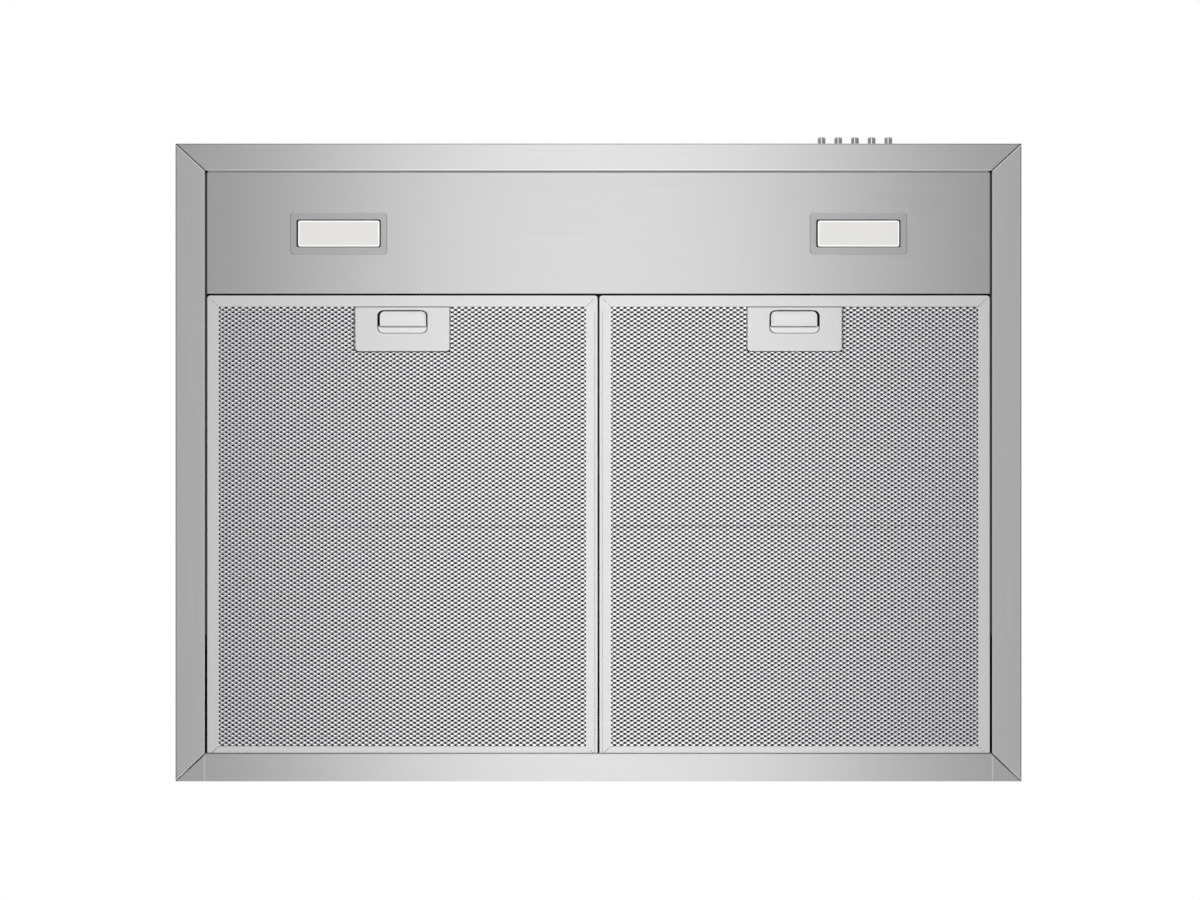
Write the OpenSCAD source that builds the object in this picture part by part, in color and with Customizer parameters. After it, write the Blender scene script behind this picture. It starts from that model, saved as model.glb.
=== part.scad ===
// Wall mount range hood: canopy, filters, lamps, blower, duct collar and telescoping chimney.
// Millimetres. X runs along the wall, Y = 0 is the wall and the front faces -Y, Z = 0 is the rim.

/* [Canopy] */
// Overall width of the hood
hood_w = 760; // [744:1:900]
// Depth from the wall to the front face
hood_d = 573; // [560:1:620]
// Height of the upright band around the rim
band_h = 50; // [46:1:80]
// Height of the sloping part above the band
slope_h = 200; // [190:1:260]
// Thickness of the stainless sheet
sheet_t = 1; // [0.8:0.1:1.2]
// Width of the turned-in strip along each side
side_strip_w = 26.4; // [24:0.1:32]
// Width of the turned-in strip along the front
front_strip_w = 24.3; // [22:0.1:28]
// Width of the turned-in strip along the wall
rear_strip_w = 25.6; // [22:0.1:32]
// Gap left at each mitred corner of the strips
mitre_gap = 0.5; // [0.3:0.1:0.8]
// Width of the ledge around the chimney on top of the canopy
ledge_w = 5; // [3:0.5:20]
// Width of the canopy's rear lip, which the back panel is riveted to
rear_lip_w = 14; // [12:1:18]

/* [Light panel] */
// Depth of the light panel from front to rear
panel_d = 108.7; // [100:0.1:125]
// How far the panel lies above the rim's lower face
panel_recess = 1; // [0.9:0.1:1.5]
// Gap between the panel and the front strip
front_gap = 1.8; // [1:0.1:2.5]
// Gap between the side strips and the panel or the filters
side_gap = 1.9; // [1.7:0.1:2.5]
// Gap between the panel and the filters
filter_gap = 1.7; // [1:0.1:2.5]
// Height of the panel's turned-up rear edge
panel_lip_h = 20; // [16:1:30]
// Length of the side rail, from the panel's front edge
rail_len = 415.4; // [380:0.1:450]
// Height of the side rail's upright leg
rail_h = 15; // [13:1:20]
// Width of the side rail's foot on the strip
rail_foot_w = 15; // [10:1:18]

/* [Lamps] */
// Distance of each lamp from the middle
lamp_x = 233.5; // [180:0.5:270]
// Distance of the lamps from the front face
lamp_from_front = 80.8; // [72:0.1:86]
// Width of the lens window
window_w = 75.5; // [60:0.1:90]
// Depth of the lens window
window_d = 25.1; // [20:0.1:30]
// Width of the bezel around the lens window, left to right
bezel_side = 5.8; // [5:0.1:10]
// Width of the bezel around the lens window, front to rear
bezel_end = 6.3; // [5:0.1:9]
// Corner radius of the bezel
bezel_r = 3.6; // [2:0.1:6]
// Thickness of the bezel's flange
bezel_t = 0.8; // [0.6:0.1:0.9]
// Gap between the lens and the bezel
lens_gap = 1.2; // [0.6:0.1:1.5]
// Height of the lamp housing above the panel
housing_h = 17.6; // [15:0.1:30]

/* [Buttons] */
// Radius of each button
button_r = 3.6; // [3:0.1:4.5]
// Distance from one button to the next
button_pitch = 15.05; // [14:0.05:18]
// Distance of the middle button from the hood's right side
button_from_side = 148.7; // [90:0.1:200]
// How far a button stands out of the front face
button_out = 6.6; // [4.5:0.1:8]
// Travel of a button
button_travel = 3; // [1:0.1:3.5]
// Depth of the switch block behind the front
switch_d = 22; // [20:1:30]

/* [Filters] */
// Gap between the two filters
centre_gap = 1.4; // [1:0.1:3]
// Thickness of a filter
filter_t = 9; // [8.6:0.1:10]
// Width of a filter's side rail
filter_side_w = 10.5; // [9:0.1:13]
// Width of a filter's front and rear rails
filter_end_w = 10.6; // [9:0.1:13]
// Wall of the folded filter rail
rail_t = 0.8; // [0.6:0.1:0.9]
// How far a filter's rear edge lies over the rear strip
filter_tuck = 4.2; // [3:0.1:6]
// Gap under a filter where it lies over the rear strip
filter_lift = 0.3; // [0.3:0.1:0.5]
// Long pitch of the filter net, coarser here than the 6.16 mm of the real one
net_long = 38; // [34:1:50]
// Short pitch of the filter net, coarser here than the 3.99 mm of the real one
net_short = 26; // [24:1:40]
// Width of the net's strands
strand_w = 2; // [1.6:0.1:3]

/* [Latches] */
// Width of the latch plate
latch_w = 85; // [78:0.5:95]
// Depth of the latch plate
latch_d = 39.5; // [38:0.5:50]
// Width of the finger window
finger_w = 44.5; // [40:0.5:48]
// Depth of the finger window
finger_d = 20.7; // [20:0.1:24]
// Distance of the finger window from the plate's front edge
finger_in = 2.7; // [2:0.1:3.5]
// Depth of the pocket that the finger pulls in
pocket_deep = 13.3; // [12:0.1:14]
// Travel of the latch
latch_travel = 7; // [5.5:0.5:7.5]
// Width of the latch tongue
tongue_w = 30; // [20:1:36]
// Length of the tongue past the filter's front face
tongue_out = 4.7; // [4.2:0.1:5]

/* [Blower] */
// Distance of the fan's axis from the wall
fan_y = 145; // [142:1:150]
// Height of the fan's axis below the canopy's top
fan_drop = 12; // [0:1:20]
// Outer radius of the fan wheel
fan_r = 75; // [68:1:76]
// Inner radius of the fan's blades
blade_in_r = 63; // [56:1:64]
// Length of the fan wheel
fan_w = 110; // [100:1:116]
// Number of blades
blade_n = 36; // [24:1:44]
// Width of the scroll between its side plates
scroll_w = 130; // [126:1:140]
// Clearance between the fan and the scroll's tongue
tongue_gap = 5; // [4:0.5:6]
// How much the scroll's radius grows from tongue to outlet
scroll_grow = 38; // [30:1:39]
// Radius of the air inlets in the scroll's plates
inlet_r = 66; // [64:0.5:67]
// Radius of the motor
motor_r = 45; // [38:1:48]
// Radius of the motor shaft
shaft_r = 4; // [3:0.5:6]
// Width of the blower box's side flanges, inside the chimney cover
box_flange_w = 14.2; // [13.2:0.1:18]
// Height of the blower box
box_h = 122; // [115:1:130]

/* [Duct] */
// Outer radius of the duct collar
duct_r = 75; // [70:0.5:75]
// Height of the duct collar
duct_h = 60; // [50:1:80]
// Wall of the duct collar
duct_t = 1.2; // [1:0.1:1.6]
// Height of the damper's pin above the collar's foot
pin_h = 18; // [12:1:24]
// Radius of the damper's pin
pin_r = 1.5; // [1.2:0.1:2]

/* [Chimney] */
// Width of the lower chimney cover
chimney_w = 320; // [318:1:360]
// Depth of the lower chimney cover
chimney_d = 290; // [288:1:320]
// Height of the lower chimney cover
chimney_h = 420; // [380:1:520]
// Length of the upper chimney cover
upper_h = 430; // [400:1:520]
// Height of the upper cover's lower edge above the canopy, pushed down
upper_lift = 40; // [36:1:60]
// Thickness of the chimney sheet
chimney_t = 0.8; // [0.6:0.1:0.9]
// Gap between the two chimney covers
chimney_gap = 0.7; // [0.5:0.1:1]
// Width of the covers' turned-in rear lips
chimney_lip_w = 14; // [10:1:20]

/* [Wall fixing] */
// Spacing of the wall holes along the wall
wall_dx = 300; // [240:1:320]
// Spacing of the wall holes in height
wall_dz = 150; // [120:1:155]
// Height of the lower wall holes above the rim
wall_z = 65; // [60:1:75]
// Radius of the wall holes
wall_hole_r = 4; // [3:0.1:5]
// Spacing of the chimney bracket's wall holes
bracket_dx = 200; // [160:1:240]
// Radius of the chimney bracket's wall holes
bracket_hole_r = 3; // [2:0.1:4]

/* [Wiring] */
// Radius of the cable inlet's bore
inlet_bore_r = 5; // [4:0.1:6]
// Distance of the cable inlet from the hood's side
inlet_from_side = 150; // [142:1:156]
// Height of the cable inlet above the rim
inlet_z = 84; // [80:1:90]
// Radius of the wiring loom
loom_r = 3; // [2:0.1:3.5]

/* [Hidden] */
$fn = 64;
// Fits and clearances
run_gap = 0.05;
slide_gap = 0.2;
seat_gap = 0.3;
rail_gap = 0.4;
screw_r = 1.6;
screw_head_r = 3.2;
screw_head_h = 1.8;
hole_gap = 0.05;
cut = 1;

// Canopy
half_w = hood_w / 2;
top_z = band_h + slope_h;
top_w = chimney_w + 2 * ledge_w;
top_d = chimney_d + ledge_w;
side_run = half_w - top_w / 2;
front_run = hood_d - top_d;
top_lip_w = ledge_w + chimney_t + box_flange_w - 5;
front_in = -(hood_d - sheet_t);

// Opening in the rim, and what lies in it
open_x = half_w - side_strip_w;
open_front = -(hood_d - front_strip_w);
open_rear = -rear_strip_w;
tray_x = open_x - side_gap;
panel_front = open_front + front_gap;
panel_rear = panel_front + panel_d;
panel_top = panel_recess + sheet_t;
end_lip_h = panel_lip_h - 4;
rail_x = tray_x + rail_gap;
panel_screw_y = [panel_front + 14, panel_rear - 14];
panel_screw_z = panel_top + 7;

// Lamps
lamp_y = -hood_d + lamp_from_front;
skirt_w = 1.8;
skirt_h = 5;
skirt_x = window_w + 2 * skirt_w;
skirt_y = window_d + 2 * skirt_w;
lens_w = window_w - 2 * lens_gap;
lens_d = window_d - 2 * lens_gap;
lens_flange_t = 1.5;
housing_w = window_w + 10;
housing_d = window_d + 10;
housing_t = 1.5;
board_t = 1.6;
led_n = 6;

// Buttons
button_x = half_w - button_from_side;
button_z = band_h / 2;
plate_back = front_in + sheet_t;
collar_at = 6;
collar_t = 1.5;
stem_len = 6.5;
collar_r = button_r + 1.2;
chamber_len = collar_t + button_travel + 2;
guide_len = collar_at - sheet_t - seat_gap;
stem_r = 2;
switch_w = 5 * button_pitch + 2;
switch_h = 20;

// Filters
filter_front = panel_rear + filter_gap;
filter_rear = open_rear + filter_tuck;
filter_len = filter_rear - filter_front;
filter_x0 = centre_gap / 2;
filter_w = tray_x - filter_x0;
filter_x = filter_x0 + filter_w / 2;
filter_z = sheet_t + filter_lift;
filter_top = filter_z + filter_t;
net_in = 7;
net_t = 0.8;
net_low = filter_z + rail_t;
net_high = filter_top - rail_t - net_t;
core_gap = 0.2;
foil_t = 0.3;
fold_w = 6;

// Latches, each drawn for the right-hand filter
latch_y = filter_front + filter_end_w;
latch_z = filter_z + 0.1;
latch_top = latch_z + sheet_t;
latch_end = latch_y + latch_d;
notch_gap = 1;
guide_t = 1;
guide_top = net_high - 0.5;
finger_front = latch_y + finger_in;
finger_rear = finger_front + finger_d;
finger_r = 4.5;
slider_t = 0.8;
lip_z = latch_top + seat_gap;
floor_z = latch_top + 3.8;
pocket_w = finger_w - 2;
pocket_front = finger_front + 0.8;
pocket_rear = pocket_front + pocket_deep;
lip_w = finger_w + 16;
spring_face = latch_end - guide_t;
lip_rear = spring_face - latch_travel - 1.3;
tongue_tip = filter_front - tongue_out;
spring_half = 14;
spring_rise = spring_face - lip_rear - slide_gap;
spring_r = (spring_half * spring_half + spring_rise * spring_rise) / (2 * spring_rise);
spring_t = 0.4;

// Blower
box_w = chimney_w - 2 * (chimney_t + box_flange_w);
fan_z = top_z - fan_drop;
box_front = -(top_d - top_lip_w - 4);
box_rear = -14;
box_top = top_z + box_h;
scroll_in = fan_r + tongue_gap;
scroll_out = scroll_in + scroll_grow;
tongue_a = 50;
spiral_steps = 40;
tongue_y = -fan_y + scroll_in * cos(tongue_a);
hang_w = 14;
bell_len = 6;
blade_t = 0.8;
ring_t = 2;
hub_r = 11;
hub_len = 18;
motor_face = -scroll_w / 2 - 4;
motor_end = -8;
arm_t = 2;
arm_r = 73;
arm_w = 16;
grommet_r = 6;

// Duct
duct_y = (-fan_y - scroll_out + tongue_y) / 2;
collar_flange = 15;
duct_top = box_top + duct_h;
pin_z = box_top + pin_h;
flap_r = duct_r - duct_t - 1.8;
flap_t = 1;
flap_off = pin_r + 2.5;
knuckle_r = pin_r + 1.7;
knuckle_w = 12;

// Chimney
chimney_top = top_z + chimney_h;
upper_z = top_z + upper_lift;
upper_top = upper_z + upper_h;
inset = chimney_t + chimney_gap;
bracket_z = upper_top - 22;
bracket_t = 1.2;
bracket_h = 25;
bracket_arm = 40;
bracket_y = -(2 * chimney_t + chimney_gap);
bracket_screw_y = bracket_y - 0.75 * bracket_arm;
tab_h = upper_lift - 10;
tab_z = top_z + sheet_t + tab_h / 2 + 1;

// Electrics on the back panel
inlet_x = half_w - inlet_from_side;
box_wall = 1.2;
junction_w = 100;
junction_h = 60;
junction_d = 48;
junction_z = inlet_z - 24;
back_in = -sheet_t;
driver_w = 100;
driver_h = 34;
driver_d = 28;
driver_foot = 10;
driver_x = inlet_x;
driver_z = wall_z;
capacitor_r = 14;
capacitor_len = 50;
capacitor_x = driver_x - 0.6 * driver_w;
capacitor_z = driver_z + 2 * driver_h + 1;
blade_tab = 6;
gland_r = inlet_bore_r + 3;
gland_len = 12;

// Box between two opposite corners
module span(low, high) translate(low) cube(high - low);

// Draws its child on the right, or mirrored on the left
module sided(side) {
    if (side < 0) mirror([1, 0, 0]) children();
    else children();
}

// Flat rectangle with round corners, about its centre
module round_rect(w, d, r) {
    square([w, d - 2 * r], center = true);
    square([w - 2 * r, d], center = true);
    for (x = [-1, 1], y = [-1, 1])
        translate([x * (w / 2 - r), y * (d / 2 - r)]) circle(r);
}

// Upright block with round corners, from z0 to z1
module pad(w, d, r, z0, z1) translate([0, 0, z0]) linear_extrude(z1 - z0) round_rect(w, d, r);

// Outline in X and Z, extruded from the wall toward the front
module along_y(len) rotate([90, 0, 0]) linear_extrude(len) children();

// Outline in Y and Z, extruded along X from x0
module along_x(x0, len) translate([x0, 0, 0]) rotate([90, 0, 90]) linear_extrude(len) children();

// Cylinder along +X or +Y from a point
module rod_x(at, r, len) translate(at) rotate([0, 90, 0]) cylinder(h = len, r = r);
module rod_y(at, r, len) translate(at) rotate([-90, 0, 0]) cylinder(h = len, r = r);

// Pan-head screw whose head lies under z = 0 and whose shank rises from it
module screw(len) rotate_extrude() polygon([
    [0, -screw_head_h], [screw_head_r * 0.6, -screw_head_h], [screw_head_r, -screw_head_h * 0.4],
    [screw_head_r, 0], [screw_r, 0], [screw_r, len], [0, len]
]);
module screw_hole(len) translate([0, 0, -cut]) cylinder(h = len + 2 * cut, r = screw_r + hole_gap);

// Sloping sides: the outline of the canopy set in by t, seen from the front and from the side
function slope_len(run) = sqrt(run * run + slope_h * slope_h);
function slope_at(reach, run, t, z) = reach - t * slope_len(run) / slope_h + (top_z - z) * run / slope_h;
function knee_z(run, t) = band_h - t * (slope_len(run) - slope_h) / run;

module width_outline(t, low, high) {
    x_high = slope_at(top_w / 2, side_run, t, high);
    knee = knee_z(side_run, t);
    polygon([
        [t - half_w, low], [half_w - t, low], [half_w - t, knee],
        [x_high, high], [-x_high, high], [t - half_w, knee]
    ]);
}

module depth_outline(t, low, high, rear) {
    y_low = t - hood_d;
    y_high = -slope_at(top_d, front_run, t, high);
    polygon([[rear, low], [y_low, low], [y_low, knee_z(front_run, t)], [y_high, high], [rear, high]]);
}

module canopy_form(t, low, high, rear) {
    intersection() {
        along_y(hood_d) width_outline(t, low, high);
        along_x(-half_w, hood_w) depth_outline(t, low, high, rear);
    }
}

// Places of the rivets along the canopy's rear lip
lip_mid = rear_lip_w / 2 + 1;
rivet_heights = [top_z - 0.75 * slope_h, top_z - 0.3 * slope_h];
rivet_places = concat(
    [for (s = [-1, 1]) [s * (half_w - lip_mid), band_h / 2]],
    [for (s = [-1, 1], z = rivet_heights) [s * slope_at(top_w / 2, side_run, lip_mid, z), z]],
    [for (s = [-1, 1]) [s * top_w / 4, top_z - lip_mid]]
);

module rivets_at(y) {
    for (p = rivet_places) translate([p[0], y, p[1]]) rotate([-90, 0, 0]) children();
}

// Strip along one edge of the rim, with its mitred ends
module rear_strip(gap) polygon([
    [gap - half_w, 0], [half_w - gap, 0], [open_x - gap, open_rear], [gap - open_x, open_rear]
]);

module mitre_slit() polygon([
    [half_w - mitre_gap, -hood_d], [half_w, -hood_d],
    [open_x, open_front], [open_x - mitre_gap, open_front]
]);

function button_place(i) = button_x + (i - 2) * button_pitch;

module canopy_shell() {
    top_open_x = top_w / 2 - top_lip_w;
    color("silver") difference() {
        canopy_form(0, 0, top_z, -sheet_t);
        canopy_form(sheet_t, sheet_t, top_z - sheet_t, -2 * sheet_t);
        // Bottom opening, its mitres and the window inside the rear lip
        span([-open_x, open_front, -cut], [open_x, cut, 2 * sheet_t]);
        translate([0, 0, -cut]) linear_extrude(sheet_t + cut) rear_strip(0);
        for (s = [-1, 1]) sided(s) translate([0, 0, -cut]) linear_extrude(sheet_t + cut) mitre_slit();
        along_y(3 * sheet_t) width_outline(rear_lip_w, -cut, top_z - rear_lip_w);
        rivets_at(-2 * sheet_t) screw_hole(sheet_t);
        // Opening for the blower, and its screw holes
        span([-top_open_x, box_front + sheet_t, top_z - 2 * sheet_t], [top_open_x, box_rear, top_z + cut]);
        for (p = flange_places) translate([p[0], p[1], top_z - sheet_t]) screw_hole(sheet_t);
        for (i = [0:4])
            rod_y([button_place(i), -hood_d - cut, button_z], button_r + seat_gap, 2 * cut + sheet_t);
    }
}

module back_panel() {
    color("silver") difference() {
        union() {
            along_y(sheet_t) width_outline(0, 0, top_z);
            linear_extrude(sheet_t) rear_strip(mitre_gap);
        }
        for (x = [-1, 1], z = [0, 1])
            rod_y([x * wall_dx / 2, -2 * sheet_t, wall_z + z * wall_dz], wall_hole_r, 3 * sheet_t);
        rod_y([-inlet_x, -2 * sheet_t, inlet_z], gland_r + hole_gap, 3 * sheet_t);
        rivets_at(-sheet_t) screw_hole(sheet_t);
    }
}

module panel_rivets() {
    color("gray") rivets_at(-2 * sheet_t) screw(2 * sheet_t);
}

module side_rail(side) {
    rail_end = panel_front + rail_len;
    color("darkgray") sided(side) difference() {
        union() {
            span([rail_x, panel_front, panel_recess - 0.5], [rail_x + sheet_t, rail_end, rail_h]);
            span([rail_x, panel_front, sheet_t], [rail_x + rail_foot_w, rail_end, 2 * sheet_t]);
        }
        for (y = panel_screw_y) translate([rail_x, y, panel_screw_z]) rotate([0, 90, 0]) screw_hole(sheet_t);
    }
}

module light_panel() {
    color("silver") difference() {
        union() {
            span([-tray_x, panel_front, panel_recess], [tray_x, panel_rear, panel_top]);
            span([-tray_x, panel_front, panel_recess], [tray_x, panel_front + sheet_t, panel_top + 10]);
            span([-tray_x, panel_rear - sheet_t, panel_recess], [tray_x, panel_rear, panel_lip_h]);
            for (s = [-1, 1]) sided(s)
                span([tray_x - sheet_t, panel_front, panel_recess], [tray_x, panel_rear, end_lip_h]);
        }
        for (s = [-1, 1]) sided(s) {
            translate([lamp_x, lamp_y, 0])
                pad(skirt_x + 2 * slide_gap, skirt_y + 2 * slide_gap, bezel_r, 0, panel_top + cut);
            span([filter_x - tongue_w / 2 - 1, panel_rear - 2 * sheet_t, floor_z - 0.8],
                [filter_x + tongue_w / 2 + 1, panel_rear + cut, floor_z + slider_t + 0.8]);
            for (y = panel_screw_y)
                translate([tray_x - sheet_t, y, panel_screw_z]) rotate([0, 90, 0]) screw_hole(sheet_t);
        }
    }
}

module light_panel_screws() {
    color("gray") for (s = [-1, 1], y = panel_screw_y) sided(s)
        translate([tray_x - sheet_t, y, panel_screw_z]) rotate([0, 90, 0])
            screw(2 * sheet_t + rail_gap + 1.5);
}

module lamp_bezel(side) {
    color("gray") sided(side) translate([lamp_x, lamp_y, 0]) difference() {
        union() {
            pad(window_w + 2 * bezel_side, window_d + 2 * bezel_end, bezel_r,
                panel_recess - bezel_t, panel_recess);
            pad(skirt_x, skirt_y, bezel_r, panel_recess, panel_recess + skirt_h);
        }
        pad(window_w, window_d, 2, -cut, panel_recess + skirt_h + cut);
    }
}

module lamp_lens(side) {
    lens_top = panel_recess + skirt_h;
    color("ivory") sided(side) translate([lamp_x, lamp_y, 0]) {
        pad(lens_w, lens_d, 2, panel_recess - bezel_t + seat_gap, lens_top);
        pad(skirt_x, skirt_y, bezel_r, lens_top, lens_top + lens_flange_t);
    }
}

module lamp_housing(side) {
    top = panel_top + housing_h;
    color("dimgray") sided(side) translate([lamp_x, lamp_y, 0]) difference() {
        pad(housing_w, housing_d, 3, panel_top, top);
        pad(housing_w - 2 * housing_t, housing_d - 2 * housing_t, 2, panel_top - cut, top - housing_t);
    }
}

module led_board(side) {
    low = panel_top + housing_h - housing_t - board_t;
    color("white") sided(side) translate([lamp_x, lamp_y, 0]) {
        pad(housing_w - 2 * housing_t - 2, housing_d - 2 * housing_t - 4, 1, low, low + board_t);
        for (i = [0:led_n - 1]) translate([(i - (led_n - 1) / 2) * lens_w / led_n, 0, low - 0.8])
            linear_extrude(0.8) square([3.5, 2.8], center = true);
    }
}

module switch_bracket() {
    ear_x = switch_w / 2 + slide_gap;
    color("darkgray") translate([button_x, 0, 0]) difference() {
        union() {
            span([-ear_x - sheet_t, front_in, button_z - 11],
                [ear_x + sheet_t, plate_back, button_z + 11]);
            for (s = [-1, 1]) sided(s)
                span([ear_x, front_in, button_z - 7], [ear_x + sheet_t, plate_back + 16, button_z + 7]);
        }
        for (i = [-2:2])
            rod_y([i * button_pitch, front_in - cut, button_z], button_r + 0.4, sheet_t + 2 * cut);
    }
}

module switch_block() {
    bore_end = plate_back + guide_len + chamber_len;
    color("white") translate([button_x, 0, 0]) difference() {
        span([-switch_w / 2, plate_back, button_z - switch_h / 2],
            [switch_w / 2, plate_back + switch_d, button_z + switch_h / 2]);
        for (i = [-2:2]) translate([i * button_pitch, 0, 0]) {
            rod_y([0, plate_back - cut, button_z], button_r + slide_gap, guide_len + 2 * cut);
            rod_y([0, plate_back + guide_len, button_z], collar_r + seat_gap, chamber_len);
            rod_y([0, bore_end - cut, button_z], stem_r + slide_gap, stem_len + cut);
        }
    }
}

// Button i of five: cap with a bevelled tip, a collar that stops it, and a stem into the switch
module button(i) {
    cap_len = button_out + collar_at + sheet_t;
    color("gainsboro") translate([button_place(i), -hood_d - button_out, button_z]) rotate([-90, 0, 0])
        rotate_extrude() polygon([
            [0, 0], [button_r - 0.8, 0], [button_r, 0.8], [button_r, cap_len], [collar_r, cap_len],
            [collar_r, cap_len + collar_t], [stem_r, cap_len + collar_t],
            [stem_r, cap_len + collar_t + stem_len], [0, cap_len + collar_t + stem_len]
        ]);
}

// Filter rails: a folded channel with mitre lines in its lower face
module filter_frame(side) {
    x1 = filter_x0 + filter_w;
    color("gainsboro") sided(side) difference() {
        span([filter_x0, filter_front, filter_z], [x1, filter_rear, filter_top]);
        span([filter_x0 + filter_side_w, filter_front + filter_end_w, filter_z - cut],
            [x1 - filter_side_w, filter_rear - filter_end_w, filter_top + cut]);
        span([filter_x0 + rail_t, filter_front + rail_t, filter_z + rail_t],
            [x1 - rail_t, filter_rear - rail_t, filter_top - rail_t]);
        for (corner = [[filter_x0, filter_front, 1, 1], [x1, filter_front, -1, 1],
                [filter_x0, filter_rear, 1, -1], [x1, filter_rear, -1, -1]])
            translate([corner[0], corner[1], filter_z - cut]) linear_extrude(rail_t + cut)
                polygon([[corner[2] * 1.5, corner[3] * 1.2], [corner[2] * 1.5, corner[3] * 1.5],
                    [corner[2] * (filter_side_w + 0.2), corner[3] * (filter_end_w + 0.2)],
                    [corner[2] * (filter_side_w + 0.2), corner[3] * (filter_end_w - 0.1)]]);
        span([filter_x - tongue_w / 2 - 0.5, filter_front - cut, floor_z - 0.4],
            [filter_x + tongue_w / 2 + 0.5, filter_front + 2 * rail_t, floor_z + slider_t + 0.4]);
    }
}

net_x0 = filter_x0 + filter_side_w - net_in;
net_x1 = filter_x0 + filter_w - filter_side_w + net_in;
net_y0 = filter_front + filter_end_w - net_in;
net_y1 = filter_rear - filter_end_w + net_in;
notch_w = latch_w + 2 * notch_gap;
notch_end = latch_end + notch_gap;

// True where a gap of the net is clear of the latch notch and of the net's edges
function gap_fits(x, y) = x - net_long / 2 > net_x0 && x + net_long / 2 < net_x1
    && y - net_short / 2 > net_y0 && y + net_short / 2 < net_y1
    && (abs(x - filter_x) - net_long / 2 > notch_w / 2 || y - net_short / 2 > notch_end);

module net_sheet() {
    rows = floor((net_y1 - net_y0) / net_short * 2);
    cols = floor((net_x1 - net_x0) / net_long) + 1;
    half_gap_x = net_long / 2 - strand_w;
    half_gap_y = net_short / 2 - strand_w;
    difference() {
        translate([net_x0, net_y0]) square([net_x1 - net_x0, net_y1 - net_y0]);
        translate([filter_x - notch_w / 2, net_y0 - cut]) square([notch_w, notch_end - net_y0 + cut]);
        for (row = [0:rows], col = [0:cols]) {
            x = net_x0 + (col + (row % 2) / 2) * net_long;
            y = net_y1 - (row + 1) * net_short / 2;
            if (gap_fits(x, y))
                translate([x, y])
                    polygon([[-half_gap_x, 0], [0, -half_gap_y], [half_gap_x, 0], [0, half_gap_y]]);
        }
    }
}

module filter_mesh(side) {
    color("lightgray") sided(side) for (z = [net_low, net_high])
        translate([0, 0, z]) linear_extrude(net_t) net_sheet();
}

// Corrugated foil between the two nets
module filter_core(side) {
    low = net_low + net_t + core_gap;
    high = net_high - core_gap - foil_t;
    folds = floor((net_x1 - net_x0 - 2) / fold_w);
    zigzag = [for (i = [0:folds]) [net_x0 + 1 + i * fold_w, i % 2 == 0 ? low : high]];
    color("gray") sided(side) difference() {
        translate([0, net_y1 - 1, 0]) along_y(net_y1 - net_y0 - 2) polygon(concat(
            zigzag, [for (i = [folds:-1:0]) zigzag[i] + [0, foil_t]]
        ));
        span([filter_x - notch_w / 2, net_y0, net_low], [filter_x + notch_w / 2, notch_end, net_high]);
    }
}

module latch_plate(side) {
    color("gainsboro") sided(side) {
        difference() {
            union() {
                translate([filter_x, latch_y + latch_d / 2, latch_z]) linear_extrude(sheet_t)
                    round_rect(latch_w, latch_d, 3);
                span([filter_x - latch_w / 2, latch_y, latch_z],
                    [filter_x + latch_w / 2, latch_y + 5, latch_top]);
                // Tongue held in the front rail's channel, under the slider
                span([filter_x - latch_w / 2 + 4, latch_y - net_in, net_low],
                    [filter_x + latch_w / 2 - 4, latch_y + 2, latch_top]);
            }
            translate([filter_x, (finger_front + finger_rear) / 2, latch_z - cut])
                linear_extrude(sheet_t + 2 * cut) round_rect(finger_w, finger_d, finger_r);
        }
        for (s = [0, 1]) translate([s * (latch_w - 2 - guide_t), 0, 0])
            span([filter_x - latch_w / 2 + 1, latch_y + 1, latch_top],
                [filter_x - latch_w / 2 + 1 + guide_t, latch_end - 4, guide_top]);
        span([filter_x - latch_w / 2 + 4, spring_face, latch_top],
            [filter_x + latch_w / 2 - 4, latch_end, guide_top]);
    }
}

// Slider: a pulled pocket, a lip behind it that runs over the plate, and the tongue in front
module latch_slider(side) {
    color("whitesmoke") sided(side) translate([filter_x, 0, 0]) {
        difference() {
            span([-pocket_w / 2, pocket_front, lip_z], [pocket_w / 2, pocket_rear, floor_z + slider_t]);
            span([-pocket_w / 2 + slider_t, pocket_front + slider_t, lip_z - cut],
                [pocket_w / 2 - slider_t, pocket_rear - slider_t, floor_z]);
        }
        span([-lip_w / 2, pocket_rear, lip_z], [lip_w / 2, lip_rear, lip_z + slider_t]);
        difference() {
            span([-tongue_w / 2, tongue_tip, floor_z], [tongue_w / 2, pocket_front, floor_z + slider_t]);
            along_x(-tongue_w, 2 * tongue_w) polygon([
                [tongue_tip - cut, floor_z - cut], [tongue_tip - cut, floor_z + slider_t],
                [tongue_tip, floor_z + slider_t / 2],
                [tongue_tip + 1, floor_z], [tongue_tip + 1, floor_z - cut]
            ]);
        }
    }
}

// Bow spring between the slider's lip and the plate's rear wall
module latch_spring(side) {
    spring_z = latch_top + 0.6;
    color("silver") sided(side) translate([filter_x, spring_face - spring_rise + spring_r, 0])
        intersection() {
            difference() {
                translate([0, 0, spring_z]) cylinder(h = 3.5, r = spring_r);
                translate([0, 0, spring_z - cut]) cylinder(h = 3.5 + 2 * cut, r = spring_r - spring_t);
            }
            span([-spring_half, -spring_r - cut, 0],
                [spring_half, spring_rise - spring_r - slide_gap, filter_top]);
        }
}

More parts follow.
